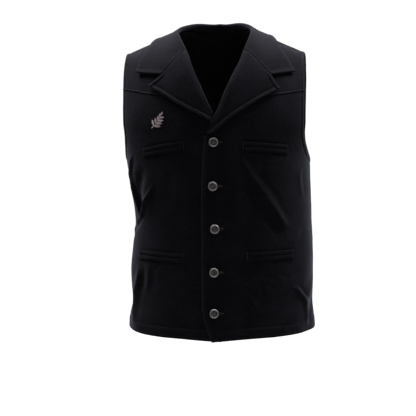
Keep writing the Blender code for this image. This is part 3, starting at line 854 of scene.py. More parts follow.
@dataclass(frozen=True)
class Patch:
    """A piece's outline as four lines of places, and the fine grid that fills it."""

    form: BodyForm
    facing: int
    bottom: Line
    top: Line
    start: Line
    end: Line
    across_knots: tuple[float, ...] = ()
    upward_knots: tuple[float, ...] = ()
    side_fade: float = 1.0

    def at(self, u: Array, v: Array) -> Array:
        """Places in the outline. A larger side fade keeps the bends of the sides near them.

        Args:
            u: Shares across.
            v: Shares upward.

        Returns:
            The places.
        """
        ends = np.array([0.0, 1.0])
        (a, b), (c, d) = self.bottom.at(ends), self.top.at(ends)
        bottom, top, start, end = self.bottom.at(u), self.top.at(u), self.start.at(v), self.end.at(v)
        u, v = u[..., None], v[..., None]
        places = (1 - v) * bottom + v * top
        places += (1 - u) ** self.side_fade * (start - (1 - v) * a - v * c)
        return places + u**self.side_fade * (end - (1 - v) * b - v * d)

    def grid(self, step: float, margins: dict[Edge, Sequence[float]]) -> Grid:
        """Fills the outline with grid lines that lie closer along its edges.

        Args:
            step: Distance between grid lines away from the edges.
            margins: For each edge, the distances of the lines beside it, rising from 0.

        Returns:
            The grid, its rows running across.
        """
        coarse = np.linspace(0, 1, 25)
        rough = self.at(*np.meshgrid(coarse, coarse))
        points = self.form.point(rough[..., 0], rough[..., 1], self.facing)
        widths, heights = lengths_across(points), lengths_across(np.swapaxes(points, 0, 1))
        sides = (margins[Edge.START], margins[Edge.END])
        ends = (margins[Edge.BOTTOM], margins[Edge.TOP])
        u_mean = graded(widths.mean(), widths.mean(), *sides, step)
        v_mean = graded(heights.mean(), heights.mean(), *ends, step)
        u = graded(np.interp(v_mean, coarse, widths)[:, None], widths.mean(), *sides, step)
        v = graded(np.interp(u_mean, coarse, heights)[:, None], heights.mean(), *ends, step).T
        u += (meeting(u, u_mean, self.across_knots) - u) * v[:, :1] ** 3
        v = meeting(v.T, v_mean, self.upward_knots).T
        return Grid(self.at(u, v), u, v)


def meeting(shares: Array, mean: Array, knots: Sequence[float]) -> Array:
    """Shifts rows of rising shares so that the lines nearest to the knots meet them.

    Args:
        shares: Rows of shares.
        mean: The row's usual shares.
        knots: Shares to meet.

    Returns:
        The shifted rows, still rising.
    """
    if not knots:
        return shares
    lines = [nearest(mean, knot) for knot in knots]
    rows = [np.interp(row, [0.0, *row[lines], 1.0], [0.0, *knots, 1.0]) for row in shares]
    return np.array(rows)


def graded(length: Array, mean: float, low: Sequence[float], high: Sequence[float], step: float) -> Array:
    """Shares of a length: fixed distances near both ends, and even ones between them.

    Args:
        length: One length, or a column of them.
        mean: The length that sets how many shares there are.
        low: Distances from the start, rising from 0.
        high: Distances from the end, rising from 0.
        step: About the distance between the even ones.

    Returns:
        Shares from 0 to 1 along the last axis.
    """
    length = np.asarray(length, float)
    low, high = np.asarray(low, float), np.asarray(high, float)
    count = max(int(round((mean - low[-1] - high[-1]) / step)), 2)
    even = np.linspace(0, 1, count + 1)[1:-1]
    low = low * np.minimum(1, 0.4 * length / low[-1])
    high = high * np.minimum(1, 0.4 * length / high[-1])
    between = low[..., -1:] + (length - low[..., -1:] - high[..., -1:]) * even
    return np.concatenate([low, between, length - high[..., ::-1]], axis=-1) / length


def margin(inset: float = 0.0) -> tuple[float, ...]:
    """Distances of the grid lines beside an edge, closer at its rounding and at its row of stitches.

    Args:
        inset: Distance of the stitches from the edge, or 0 for none.

    Returns:
        The distances, rising from 0.
    """
    near = [0.0, 0.0005, 0.0013, 0.0028]
    if not inset:
        return (*near, 0.0050)
    between = np.arange(0.0052, inset - 0.0022, 0.0029)
    return (*near, *between, inset - 0.0011, inset, inset + 0.0011, inset + 0.0030)


def beside(bottom: float, top: float, start: float, end: float) -> dict[Edge, Sequence[float]]:
    """Grid lines beside the four edges of a panel, from the insets of their stitches."""
    return {edge: margin(inset) for edge, inset in zip(Edge, (bottom, top, start, end))}


# Cloth walls and their sewing


@dataclass(frozen=True)
class Topstitch:
    """How an edge is sewn: a strip raised by the turned-in cloth, and a row of stitches sunk beside it."""

    inset: float = 0.0080
    raised: float = 0.0008
    trough: float = 0.0012
    half_width: float = 0.0014
    # Strength of the painted highlight that lightens the edge's nap.
    rub: float = 0.5
    shown: bool = True

    def relief(self, distance: Array, uneven: Array) -> Array:
        """Reads the shape of the sewn edge.

        Args:
            distance: Distances from the edge.
            uneven: Values between -1 and 1 that vary it.

        Returns:
            How far the face is raised or sunk.
        """
        strip = self.raised * (1 - smooth_step(distance, self.inset - 0.0012, self.inset + 0.0014))
        pucker = 0.00028 * uneven * hump(distance, self.inset, 0.0045)
        return strip + pucker - self.trough * (1 + 0.3 * uneven) * hump(distance, self.inset, self.half_width)

    def painted_edge_highlight(self, distance: Array) -> Array:
        """How much painted highlight the edge gets, as if its nap caught the light, most of all along the
        edge's crest.
        """
        crest = hump(distance, 0.0022, 0.0022) + 0.45 * hump(distance, self.inset - 0.0022, 0.0016)
        return self.rub * np.clip(crest + 0.25 * (distance < self.inset - 0.001), 0, 1)


ARMHOLE = Topstitch()
HEM = Topstitch(inset=0.0230, raised=0.0004, trough=0.0008, rub=0.25)
OUTER_EDGE = Topstitch(inset=0.0080, raised=0.0010, trough=0.0014)
GORGE = Topstitch(inset=0.0024, raised=0.0005, trough=0.0002, shown=False, rub=0.5)


class Sewn(NamedTuple):
    """A sewn stretch of a wall's edge, from one grid line to another. Slant tilts the way inward by rows."""

    edge: Edge
    stitch: Topstitch
    first: int = 0
    last: int | None = None
    slant: int = 0


class Ditch(NamedTuple):
    """A narrow furrow in a face, along a line of points."""

    line: Array
    half_width: float
    depth: float


def add_mesh(
    name: str, points: Array, faces: Array | list, marks: dict[str, Array] | None = None
) -> Object:
    """Makes an object with smooth faces.

    Args:
        name: The piece's name.
        points: The mesh's points.
        faces: Point numbers of each face.
        marks: Values for each point, by the name that a material reads.

    Returns:
        The object, in the scene.
    """
    mesh = bpy.data.meshes.new(name)
    mesh.from_pydata(points, [], faces)
    mesh.shade_smooth()
    for mark, values in (marks or {}).items():
        mesh.attributes.new(mark, "FLOAT", "POINT").data.foreach_set("value", np.asarray(values, np.float32))
    made = bpy.data.objects.new(name, mesh)
    bpy.context.scene.collection.objects.link(made)
    return made


def grid_faces(index: Array) -> Array:
    """Four-sided faces of a grid of point numbers."""
    corners = (index[:-1, :-1], index[:-1, 1:], index[1:, 1:], index[1:, :-1])
    return np.stack(corners, axis=-1).reshape(-1, 4)


def ring_faces(rings: int, spokes: int) -> Array:
    """Faces between rings of points, closed all round."""
    index = np.arange(rings * spokes).reshape(rings, spokes)
    return grid_faces(np.c_[index, index[:, :1]])


@dataclass
class Wall:
    """A closed piece of cloth between two faces, with soft edges and raised sewn ones."""

    name: str
    low: Array
    high: Array
    sewn: Sequence[Sewn] = ()
    ditches: Sequence[Ditch] = ()
    fullness: float = 1.0
    pucker: Unevenness = Unevenness(0.0065, 5)

    @cached_property
    def middle(self) -> Array:
        """The grid midway between the two faces."""
        return (self.low + self.high) / 2

    def stretch(self, sewn: Sewn) -> tuple[Array, Array]:
        """Finds a sewn stretch.

        Args:
            sewn: The stretch.

        Returns:
            Its points, and unit vectors from them into the piece.
        """
        m, depth = self.middle, min(7, min(self.middle.shape[:2]) - 1)
        pairs = {
            Edge.START: (m[:, 0], m[:, depth]),
            Edge.END: (m[:, -1], m[:, -1 - depth]),
            Edge.BOTTOM: (m[0], m[depth]),
            Edge.TOP: (m[-1], m[-1 - depth]),
        }
        edge, inner = pairs[sewn.edge]
        if sewn.slant:
            inner = inner[np.clip(np.arange(len(inner)) - sewn.slant, 0, len(inner) - 1)]
        edge, inner = edge[sewn.first : sewn.last], inner[sewn.first : sewn.last]
        along = unit(np.gradient(edge, axis=0))
        inward = inner - edge
        inward = inward - (inward * along).sum(-1, keepdims=True) * along
        return edge, unit(inward)

    def stitch_lines(self) -> list[Array]:
        """Finds where the shown rows of stitches run.

        Returns:
            Lines of points near the piece's face.
        """
        lines = []
        for sewn in self.sewn:
            if sewn.stitch.shown:
                edge, inward = self.stretch(sewn)
                line = edge + inward * sewn.stitch.inset
                clear = [np.linalg.norm(edge - p, axis=1).min() > 0.93 * sewn.stitch.inset for p in line]
                lines.append(line[np.array(clear)])
        return lines

    def build(self) -> Object:
        """Makes the piece.

        Returns:
            Its object, in the scene.
        """
        m = self.middle
        rim = np.concatenate([m[0], m[1:, -1], m[-1, -2::-1], m[-2::-1, 0]])
        half = (self.high - self.low) / 2
        round_by = np.linalg.norm(half, axis=-1) * self.fullness
        near = np.clip(distance_to_line(m, rim) / round_by, 0, 1)
        edge_points = np.ones(near.shape, bool)
        edge_points[1:-1, 1:-1] = False
        near[edge_points] = 0
        swell = np.sqrt(1 - (1 - near) ** 2)[..., None]
        uneven = self.pucker.at(m)
        relief, rub = np.zeros(m.shape[:2]), np.zeros(m.shape[:2])
        for sewn in self.sewn:
            distance = distance_to_line(m, self.stretch(sewn)[0])
            relief += sewn.stitch.relief(distance, uneven)
            rub = np.maximum(rub, sewn.stitch.painted_edge_highlight(distance))
        for ditch in self.ditches:
            relief -= ditch.depth * hump(distance_to_line(m, ditch.line), 0, ditch.half_width)
        outward = unit(half)
        outer = m + (half + outward * relief[..., None]) * swell
        inner = m - half * swell
        index = np.arange(near.size).reshape(near.shape)
        inside = index.copy()
        inside[~edge_points] = near.size + np.arange((~edge_points).sum())
        points = np.vstack([outer.reshape(-1, 3), inner[~edge_points]])
        faces = np.concatenate([grid_faces(index), grid_faces(inside)[:, ::-1]])
        a, b, c = (outer.reshape(-1, 3)[grid_faces(index)[:, k]] for k in (0, 1, 2))
        if (np.cross(b - a, c - a) * outward.reshape(-1, 3)[grid_faces(index)[:, 0]]).sum() < 0:
            faces = faces[:, ::-1]
        # This point mark is the painted highlight along the sewn edges; the wool material lightens the nap
        # there.
        marks = {"rub": np.concatenate([rub.ravel(), np.zeros(len(points) - rub.size)])}
        return add_mesh(self.name, points, faces, marks)


@dataclass(frozen=True)
class Needle:
    """Sews rows of short thread stitches. At its shares, a stitch's middle is lifted by so many radii."""

    stitch: float = 0.0024
    pitch: float = 0.0031
    radius: float = 0.00030
    sides: int = 5
    reach: float = 0.004
    shares: tuple[float, ...] = (0, 0.18, 0.5, 0.82, 1)
    lifts: tuple[float, ...] = (-1.6, 0.35, 0.55, 0.35, -1.6)

    def ends_along(self, line: Array) -> list[tuple[Array, Array]]:
        """Spaces stitches evenly on a line.

        Args:
            line: Points.

        Returns:
            Both ends of each stitch.
        """
        if len(line) < 2:
            return []
        travelled = lengths(line)
        at = np.arange(self.pitch / 2, travelled[-1], self.pitch)
        if len(at) < 2:
            return []
        middles = np.stack([np.interp(at, travelled, line[:, k]) for k in range(3)], axis=-1)
        half = unit(np.gradient(middles, axis=0)) * self.stitch / 2
        return list(zip(middles - half, middles + half))

    def sew(self, name: str, ground: Object, lines: Sequence[Array]) -> Object:
        """Sews along lines that run near a piece's face.

        Args:
            name: Name of the new piece.
            ground: The piece that is sewn on.
            lines: Lines of points.

        Returns:
            All the stitches, as one piece.
        """
        mesh = ground.data
        tree = BVHTree.FromPolygons([v.co for v in mesh.vertices], [p.vertices[:] for p in mesh.polygons])
        points, faces = [], []
        for start, end in (ends for line in lines for ends in self.ends_along(line)):
            path, normals = [], []
            for share, lift in zip(self.shares, self.lifts):
                hit, normal, _, distance = tree.find_nearest(Vector(start + (end - start) * share))
                if hit is None or distance > self.reach:
                    break
                path.append(np.array(hit + normal * (lift * self.radius)))
                normals.append(np.array(normal))
            if len(path) < len(self.shares) or (np.array(normals) @ normals[2]).min() < 0.5:
                continue
            along = unit(np.gradient(np.array(path), axis=0))
            aside = unit(np.cross(along, np.array(normals)))
            upward = np.cross(aside, along)
            first = len(points)
            for p, s, u in zip(path, aside, upward):
                for k in range(self.sides):
                    turn = 2 * math.pi * k / self.sides
                    points.append(p + (s * math.cos(turn) + u * math.sin(turn)) * self.radius)
            ring = np.arange(self.sides)
            for j in range(len(path) - 1):
                low, high = first + j * self.sides + ring, first + (j + 1) * self.sides + ring
                faces += np.stack([low, np.roll(low, -1), np.roll(high, -1), high], axis=1).tolist()
            faces.append((first + ring[::-1]).tolist())
            faces.append((len(points) - self.sides + ring).tolist())
        return add_mesh(name, np.array(points), faces)


NEEDLE = Needle()


# Finishes


class Graph:
    """Makes and joins nodes in one node tree."""

    def __init__(self, tree: NodeTree) -> None:
        """Starts in a tree."""
        self.tree = tree

    def feed(self, node: Node, sockets: dict[str | int, object]) -> None:
        """Sets inputs of a node.

        Args:
            node: The node.
            sockets: Values or output sockets for its inputs, by name or number.
        """
        for name, value in sockets.items():
            if isinstance(value, NodeSocket):
                self.tree.links.new(value, node.inputs[name])
            else:
                node.inputs[name].default_value = value

    def node(self, kind: str, sockets: dict[str | int, object] | None = None, **settings: object) -> Node:
        """Adds a node.

        Args:
            kind: The node's type, without its ShaderNode prefix.
            sockets: Values or output sockets for its inputs, by name or number.
            settings: The node's own settings.

        Returns:
            The node.
        """
        made = self.tree.nodes.new(kind if kind.startswith("Node") else f"ShaderNode{kind}")
        for name, value in settings.items():
            setattr(made, name, value)
        self.feed(made, sockets or {})
        return made

    def math(self, operation: str, first: object, second: object = 0.5, clamp: bool = False) -> NodeSocket:
        """Output of a math node."""
        return self.node("Math", {0: first, 1: second}, operation=operation, use_clamp=clamp).outputs[0]

    def rising(self, value: object, slope: float, start: float) -> NodeSocket:
        """Output of start plus slope times a value."""
        return self.math("ADD", self.math("MULTIPLY", value, slope), start)

    def mix(self, share: object, low: object, high: object) -> NodeSocket:
        """Output of a colour mix."""
        low, high = ((*c, 1) if isinstance(c, tuple) else c for c in (low, high))
        return self.node("Mix", {0: share, 6: low, 7: high}, data_type="RGBA").outputs[2]

    def ramp(self, value: object, low: float, high: float) -> NodeSocket:
        """0 below low and 1 above high, turning smoothly between them."""
        sockets = {"Value": value, "From Min": low, "From Max": high}
        return self.node("MapRange", sockets, interpolation_type="SMOOTHSTEP", clamp=True).outputs[0]

    def noise(self, where: object, scale: object, detail: float = 2.0, roughness: float = 0.5) -> NodeSocket:
        """Smooth noise between 0 and 1."""
        sockets = {"Vector": where, "Scale": scale, "Detail": detail, "Roughness": roughness}
        return self.node("TexNoise", sockets, normalize=True).outputs[0]

    def mapped(self, where: object, name: str, value: Triple) -> NodeSocket:
        """A vector scaled or turned, as name says."""
        return self.node("Mapping", {"Vector": where, name: value}).outputs[0]

    def bump(self, height: object, distance: float, strength: float) -> NodeSocket:
        """A normal bent by a height."""
        sockets = {"Height": height, "Distance": distance, "Strength": strength}
        return self.node("Bump", sockets).outputs[0]


def shader_group(
    name: str, takes: dict[str, float | None], gives: Sequence[str]
) -> tuple[NodeTree, Graph, Node, Node]:
    """Starts a shader node group.

    Args:
        name: The group's name.
        takes: Its inputs: the default of each number, and None for each vector.
        gives: Names of the numbers that it gives.

    Returns:
        The group, its graph, its input node and its output node.
    """
    group = bpy.data.node_groups.new(name, "ShaderNodeTree")
    for socket, default in takes.items():
        kind = "NodeSocketVector" if default is None else "NodeSocketFloat"
        made = group.interface.new_socket(socket, in_out="INPUT", socket_type=kind)
        if default is not None:
            made.default_value = default
    for socket in gives:
        group.interface.new_socket(socket, in_out="OUTPUT", socket_type="NodeSocketFloat")
    graph = Graph(group)
    return group, graph, graph.node("NodeGroupInput"), graph.node("NodeGroupOutput")


def nap_group() -> NodeTree:
    """The nap of milled wool: matted fibres, small clumps and wide uneven patches.

    Returns:
        The node group, made at its first use.
    """
    if "Wool nap" in bpy.data.node_groups:
        return bpy.data.node_groups["Wool nap"]
    group, g, takes, gives = shader_group(
        "Wool nap", {"Place": None, "Fibre Scale": 620.0, "Patch Scale": 21.0}, ("Fleck", "Patch", "Height")
    )
    place, fibre_scale, patch_scale = takes.outputs[:3]
    bend = g.node("TexNoise", {"Vector": place, "Scale": 160.0, "Detail": 1.0}).outputs["Color"]
    bend = g.node("VectorMath", {0: bend, 1: (0.0045, 0.0045, 0.0045)}, operation="MULTIPLY").outputs[0]
    bent = g.node("VectorMath", {0: place, 1: bend}, operation="ADD").outputs[0]
    ways = (g.mapped(bent, "Scale", (1.0, 1.0, 0.22)), g.mapped(bent, "Scale", (0.28, 0.28, 1.0)))
    fibres = g.math("MAXIMUM", *(g.noise(way, fibre_scale, 3.0, 0.6) for way in ways))
    clumps = g.noise(bent, 190.0, 3.0, 0.6)
    patches = g.noise(place, patch_scale, 4.0, 0.62)
    flecks = g.math("MULTIPLY", g.ramp(fibres, 0.46, 0.80), 0.6)
    fleck = g.math("ADD", flecks, g.math("MULTIPLY", clumps, 0.4))
    height = g.math("ADD", g.math("MULTIPLY", fibres, 0.55), g.math("MULTIPLY", clumps, 0.45))
    g.feed(gives, {"Fleck": fleck, "Patch": g.ramp(patches, 0.34, 0.70), "Height": height})
    return group


def patina_and_highlight_group() -> NodeTree:
    """A mask of the places that a point mark names, broken up unevenly: painted highlight on the wool's sewn
    edges, and patina in the metal's hollows.

    Returns:
        The node group, made at its first use.
    """
    if "Wear" in bpy.data.node_groups:
        return bpy.data.node_groups["Wear"]
    inputs = {"Place": None, "Mark": 0.0, "Break Scale": 240.0}
    group, g, takes, gives = shader_group("Wear", inputs, ("Mask",))
    place, mark, break_scale = takes.outputs[:3]
    broken = g.ramp(g.noise(place, break_scale, 3.0, 0.65), 0.30, 0.66)
    g.feed(gives, {"Mask": g.math("MULTIPLY", mark, g.rising(broken, 0.65, 0.35), clamp=True)})
    return group


@dataclass(frozen=True)
class Finish:
    """What a piece is made of, as a material that is made once."""

    name: str

    def paint(self, g: Graph, shader: Node, place: NodeSocket) -> Triple:
        """Feeds the material's shader.

        Args:
            g: Graph of the material.
            shader: Its shader.
            place: The place on the object in metres.

        Returns:
            The colour in a plain view.
        """
        raise NotImplementedError

    def material(self) -> Material:
        """Looks the material up, or makes it.

        Returns:
            The material.
        """
        if self.name not in bpy.data.materials:
            made = bpy.data.materials.new(self.name)
            made.use_nodes = True
            g = Graph(made.node_tree)
            place = g.node("TexCoord").outputs["Object"]
            made.diffuse_color = (*self.paint(g, made.node_tree.nodes["Principled BSDF"], place), 1)
        return bpy.data.materials[self.name]


@dataclass(frozen=True)
class WoolFinish(Finish):
    """Milled black wool with a short nap that catches the light."""

    name: str = "black_wool"
    deep: Triple = (0.0014, 0.0011, 0.0022)
    raised: Triple = (0.0145, 0.0128, 0.0205)
    # Colour of the painted highlight on the raised sewn edges.
    painted_edge_highlight: Triple = (0.0330, 0.0305, 0.0440)
    sheen: float = 0.058
    sheen_roughness: float = 0.45
    sheen_tint: Triple = (0.60, 0.66, 0.86)
    bump: float = 0.55

    def paint(self, g: Graph, shader: Node, place: NodeSocket) -> Triple:
        """Feeds the material's shader.

        Args:
            g: Graph of the material.
            shader: Its shader.
            place: The place on the object in metres.

        Returns:
            The colour in a plain view.
        """
        nap = g.node("Group", node_tree=nap_group())
        patina_and_highlight = g.node("Group", node_tree=patina_and_highlight_group())
        g.feed(nap, {"Place": place})
        g.feed(patina_and_highlight, {"Place": place, "Mark": g.node("Attribute", attribute_name="rub").outputs["Fac"]})
        fleck, patch, height = nap.outputs[:3]
        share = g.math("MULTIPLY", fleck, g.rising(patch, 0.5, 0.5))
        # Painted highlight: the sewn edges' point mark, broken up by the nap, mixes in the lighter colour.
        painted_highlight_share = g.math("MULTIPLY", patina_and_highlight.outputs["Mask"], g.rising(fleck, 0.7, 0.3))
        sockets = {
            "Base Color": g.mix(painted_highlight_share, g.mix(share, self.deep, self.raised), self.painted_edge_highlight),
            "Roughness": g.math("SUBTRACT", 0.98, g.math("MULTIPLY", share, 0.12)),
            "Normal": g.bump(height, 0.0006, self.bump),
            "Specular IOR Level": 0.12,
            "Sheen Weight": self.sheen,
            "Sheen Roughness": self.sheen_roughness,
            "Sheen Tint": (*self.sheen_tint, 1),
        }
        g.feed(shader, sockets)
        return self.deep


@dataclass(frozen=True)
class ThreadFinish(Finish):
    """Twisted sewing thread."""

    dark: Triple
    light: Triple
    twist: float = 900.0
    roughness: float = 0.62

    def paint(self, g: Graph, shader: Node, place: NodeSocket) -> Triple:
        """Feeds the material's shader.

        Args:
            g: Graph of the material.
            shader: Its shader.
            place: The place on the object in metres.

        Returns:
            The colour in a plain view.
        """
        slant = g.mapped(place, "Rotation", (0.5, 0.6, 0.7))
        sockets = {"Vector": slant, "Scale": self.twist, "Distortion": 1.5, "Detail": 1.0}
        strands = g.node("TexWave", sockets).outputs["Fac"]
        uneven = g.noise(place, 90.0, 3.0)
        share = g.math("MULTIPLY", strands, g.math("ADD", uneven, 0.35), clamp=True)
        sockets = {
            "Base Color": g.mix(share, self.dark, self.light),
            "Roughness": g.rising(uneven, 0.2, self.roughness - 0.1),
            "Normal": g.bump(strands, 0.0002, 0.5),
            "Specular IOR Level": 0.3,
        }
        g.feed(shader, sockets)
        return self.light


@dataclass(frozen=True)
class AgedMetalFinish(Finish):
    """Old silver: pale on the crests, dark and dull in the hollows."""

    name: str = "aged_silver"
    bright: Triple = (0.40, 0.375, 0.36)
    dull: Triple = (0.20, 0.186, 0.180)
    hollow: Triple = (0.022, 0.020, 0.021)

    def paint(self, g: Graph, shader: Node, place: NodeSocket) -> Triple:
        """Feeds the material's shader.

        Args:
            g: Graph of the material.
            shader: Its shader.
            place: The place on the object in metres.

        Returns:
            The colour in a plain view.
        """
        mark = g.node("Attribute", attribute_name="hollow").outputs["Fac"]
        patina_and_highlight = g.node("Group", node_tree=patina_and_highlight_group())
        g.feed(patina_and_highlight, {"Place": place, "Mark": mark, "Break Scale": 700.0})
        tarnish = g.ramp(g.noise(place, 420.0, 4.0, 0.6), 0.40, 0.72)
        mask = g.ramp(patina_and_highlight.outputs["Mask"], 0.15, 0.75)
        scratches = g.noise(g.mapped(place, "Scale", (1.0, 1.0, 0.15)), 2600.0, 2.0)
        sockets = {
            "Base Color": g.mix(mask, g.mix(tarnish, self.bright, self.dull), self.hollow),
            "Roughness": g.math("ADD", g.math("MULTIPLY", tarnish, 0.14), g.rising(mask, 0.20, 0.48)),
            "Metallic": g.math("SUBTRACT", 1.0, g.math("MULTIPLY", mask, 0.55)),
            "Normal": g.bump(scratches, 0.00008, 0.4),
        }
        g.feed(shader, sockets)
        return self.bright


@dataclass(frozen=True)
class FloorFinish(Finish):
    """Pale matt studio floor."""

    name: str = "studio_floor"
    low: Triple = (0.62, 0.62, 0.625)
    high: Triple = (0.66, 0.66, 0.665)
    glow: float = 1.7

    def paint(self, g: Graph, shader: Node, place: NodeSocket) -> Triple:
        """Feeds the material's shader.

        Args:
            g: Graph of the material.
            shader: Its shader.
            place: The place on the object in metres.

        Returns:
            The colour in a plain view.
        """
        colour = g.mix(g.noise(place, 0.8, 3.0), self.low, self.high)
        seen = g.node("LightPath").outputs["Is Camera Ray"]
        sockets = {
            "Base Color": colour,
            "Emission Color": colour,
            "Emission Strength": g.math("MULTIPLY", seen, self.glow),
            "Roughness": 0.9,
        }
        g.feed(shader, sockets)
        return self.high


WOOL = WoolFinish()
WOOL_THREAD = ThreadFinish("black_thread", (0.0022, 0.0019, 0.0032), (0.0080, 0.0074, 0.0110))
SPRIG_THREAD = ThreadFinish("sprig_thread", (0.26, 0.19, 0.20), (0.72, 0.60, 0.62), 1100.0, 0.5)
METAL = AgedMetalFinish()


def dress(made: Object, finish: Finish, nodes: Sequence[str] = ()) -> Object:
    """Gives a piece its finish and its place on the body.

    Args:
        made: The piece.
        finish: What it is made of.
        nodes: The solids that it stands for.

    Returns:
        The piece.
    """
    made.data.materials.append(finish.material())
    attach(made, "root")
    if nodes:
        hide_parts(*nodes)
    LOG.info("%s: %d faces", made.name, len(made.data.polygons))
    return made


def sewn_cloth(wall: Wall, node: str, stitched: str) -> tuple[Object, Object]:
    """Makes a piece of wool and its stitches.

    Args:
        wall: The piece.
        node: The solid that it stands for.
        stitched: Name of its stitches.

    Returns:
        The piece and its stitches.
    """
    made = dress(wall.build(), WOOL, [node])
    return made, dress(NEEDLE.sew(stitched, made, wall.stitch_lines()), WOOL_THREAD)


# The panels


@dataclass
class Back:
    """The back, cut in one piece, with its hem and armhole edges."""

    pattern: Pattern
    step: float = 0.0034
    hem: Topstitch = HEM
    armhole: Topstitch = ARMHOLE
    flat: tuple[float, float] = (0.570, 0.690)
    area: float = 0.336

    def outline(self) -> Patch:
        """Draws the outline.

        Returns:
            The outline. Its top runs along one shoulder seam, the neck seam and the other shoulder seam.
        """
        p, form = self.pattern, self.pattern.form
        past = 2 * form.ridge - p.shoulder_seam + p.seam_lap
        sides, tops = {}, {}
        for side in Side:
            armhole = p.armhole(side, BACK, past)
            sides[side] = (p.side_seam(side), armhole)
            neck = p.neck(side)[1] + (0, p.seam_lap)
            tops[side] = [np.linspace(armhole[-1], neck[0], 20), neck]
        start = line_of(form, BACK, sides[Side.RIGHT])
        end = line_of(form, BACK, sides[Side.LEFT], start.knots)
        left = [line[::-1] for line in reversed(tops[Side.LEFT])]
        top = line_of(form, BACK, tops[Side.RIGHT] + left)
        bottom = p.hem(start.places[0, 0], end.places[0, 0], "back")
        bottom = line_of(form, BACK, [bottom])
        return Patch(form, BACK, bottom, top, start, end, top.knots, start.knots, side_fade=1.5)

    def build(self) -> None:
        """Makes the back and its stitches."""
        p, form = self.pattern, self.pattern.form
        outline = self.outline()
        grid = outline.grid(self.step, beside(self.hem.inset, 0, self.armhole.inset, self.armhole.inset))
        underarm = nearest(grid.upward[:, 0], outline.upward_knots[0])
        sewn = (
            Sewn(Edge.BOTTOM, self.hem),
            Sewn(Edge.START, self.armhole, first=underarm, slant=5),
            Sewn(Edge.END, self.armhole, first=underarm, slant=5),
        )
        low = form.cloth(grid.places, BACK, 0.0)
        wall = Wall("back_panel", low, form.cloth(grid.places, BACK, p.cloth), sewn)
        made, stitches = sewn_cloth(wall, "back", "back_stitches")


@dataclass
class Front:
    """A front below its yoke. The left one lies over the right one and has the buttonholes."""

    pattern: Pattern
    side: Side
    furrows: Sequence[Ditch] = ()
    step: float = 0.0030
    free_edge: Topstitch = Topstitch(inset=0.0100, raised=0.0007)
    hem: Topstitch = HEM
    armhole: Topstitch = ARMHOLE
    flat: tuple[float, float] = (0.320, 0.535)
    area: float = 0.1425

    def outline(self) -> Patch:
        """Draws the outline.

        Returns:
            The outline, from the hem to the yoke seam.
        """
        p, form, half = self.pattern, self.pattern.form, self.pattern.half(self.side)
        free = p.free_edge(self.side)
        below, _ = p.roll(self.side)
        trunk, chest = cut_at(free, p.underarm - form.chest_line)
        armhole = p.armhole(self.side, FRONT, p.shoulder_seam)
        crossings = (form.place(self.side * x, p.yoke_seam_height(x)) for x in np.linspace(0.16, 0.21, 500))
        seam_end = next(c for c in crossings if abs(c[0]) >= math.radians(half.front_armhole_deg))
        armhole, _ = cut_at(armhole, seam_end[1])
        side_seam = p.side_seam(self.side)
        bottom = p.hem(free[0, 0], side_seam[0, 0], self.side.word, self.side)
        trunk[0], bottom[-1] = bottom[0], side_seam[0]
        first = form.point(*below[-1], FRONT)[0]
        last = form.point(*armhole[-1], FRONT)[0]
        top = np.array([form.place(x, p.yoke_seam_height(abs(x))) for x in np.linspace(first, last, 60)])
        top[0], top[-1] = below[-1], armhole[-1]
        start = line_of(form, FRONT, [trunk, chest, np.vstack([chest[-1], below])])
        end = line_of(form, FRONT, [side_seam, armhole], start.knots[:1])
        lines = [line_of(form, FRONT, [line]) for line in (bottom, top)]
        return Patch(form, FRONT, *lines, start, end, (), start.knots)

    def build(self) -> None:
        """Makes the front and its stitches."""
        p, outline = self.pattern, self.outline()
        margins = beside(self.hem.inset, 0, self.free_edge.inset, self.armhole.inset)
        grid = outline.grid(self.step, margins)
        underarm, foot = (nearest(grid.upward[:, 0], knot) for knot in outline.upward_knots)
        grid.places[-1] += (0, p.seam_lap / 2)
        sewn = (
            Sewn(Edge.BOTTOM, self.hem),
            Sewn(Edge.START, self.free_edge, last=foot + 1),
            Sewn(Edge.END, self.armhole, first=underarm, slant=5),
        )
        word = self.side.word
        wall = Wall(f"front_panel_{word}", *p.front_faces(grid, self.side), sewn, self.furrows)
        made, stitches = sewn_cloth(wall, f"front_{word}", f"front_stitches_{word}")


@dataclass
class Yoke:
    """A front yoke, lapped over its front and sewn down, and seamed to the back at the shoulder."""

    pattern: Pattern
    side: Side
    front: Front
    step: float = 0.0026
    lapped: Topstitch = Topstitch(inset=0.0034, raised=0.0011, trough=0.0007, half_width=0.0010, rub=0.2)
    shoulder: Topstitch = Topstitch(inset=0.0034, raised=0.0006, trough=0.0007, half_width=0.0010, rub=0.2)
    armhole: Topstitch = ARMHOLE
    flat: tuple[float, float] = (0.170, 0.190)
    area: float = 0.0206

    def build(self) -> None:
        """Makes the yoke and its stitches."""
        p, form = self.pattern, self.pattern.form
        seam = self.front.outline().top.places - (0, p.seam_lap / 2)
        front_neck, _ = p.neck(self.side)
        _, roll = p.roll(self.side)
        _, armhole = cut_at(p.armhole(self.side, FRONT, p.shoulder_seam), seam[-1, 1])
        roll[0], armhole[0] = seam[0], seam[-1]
        top = np.linspace(front_neck[-1], armhole[-1], 30)
        start = line_of(form, FRONT, [roll, front_neck])
        lines = [line_of(form, FRONT, [line]) for line in (seam, top)]
        end = line_of(form, FRONT, [armhole])
        outline = Patch(form, FRONT, *lines, start, end, (), start.knots)
        margins = beside(self.lapped.inset, self.shoulder.inset, 0, self.armhole.inset)
        faces = p.front_faces(outline.grid(self.step, margins), self.side)
        sewn = (
            Sewn(Edge.BOTTOM, self.lapped),
            Sewn(Edge.TOP, self.shoulder),
            Sewn(Edge.END, self.armhole),
        )
        word, under = self.side.word, ["back"]
        wall = Wall(f"yoke_{word}", *faces, sewn)
        made, stitches = sewn_cloth(wall, f"front_yoke_{word}", f"yoke_stitches_{word}")


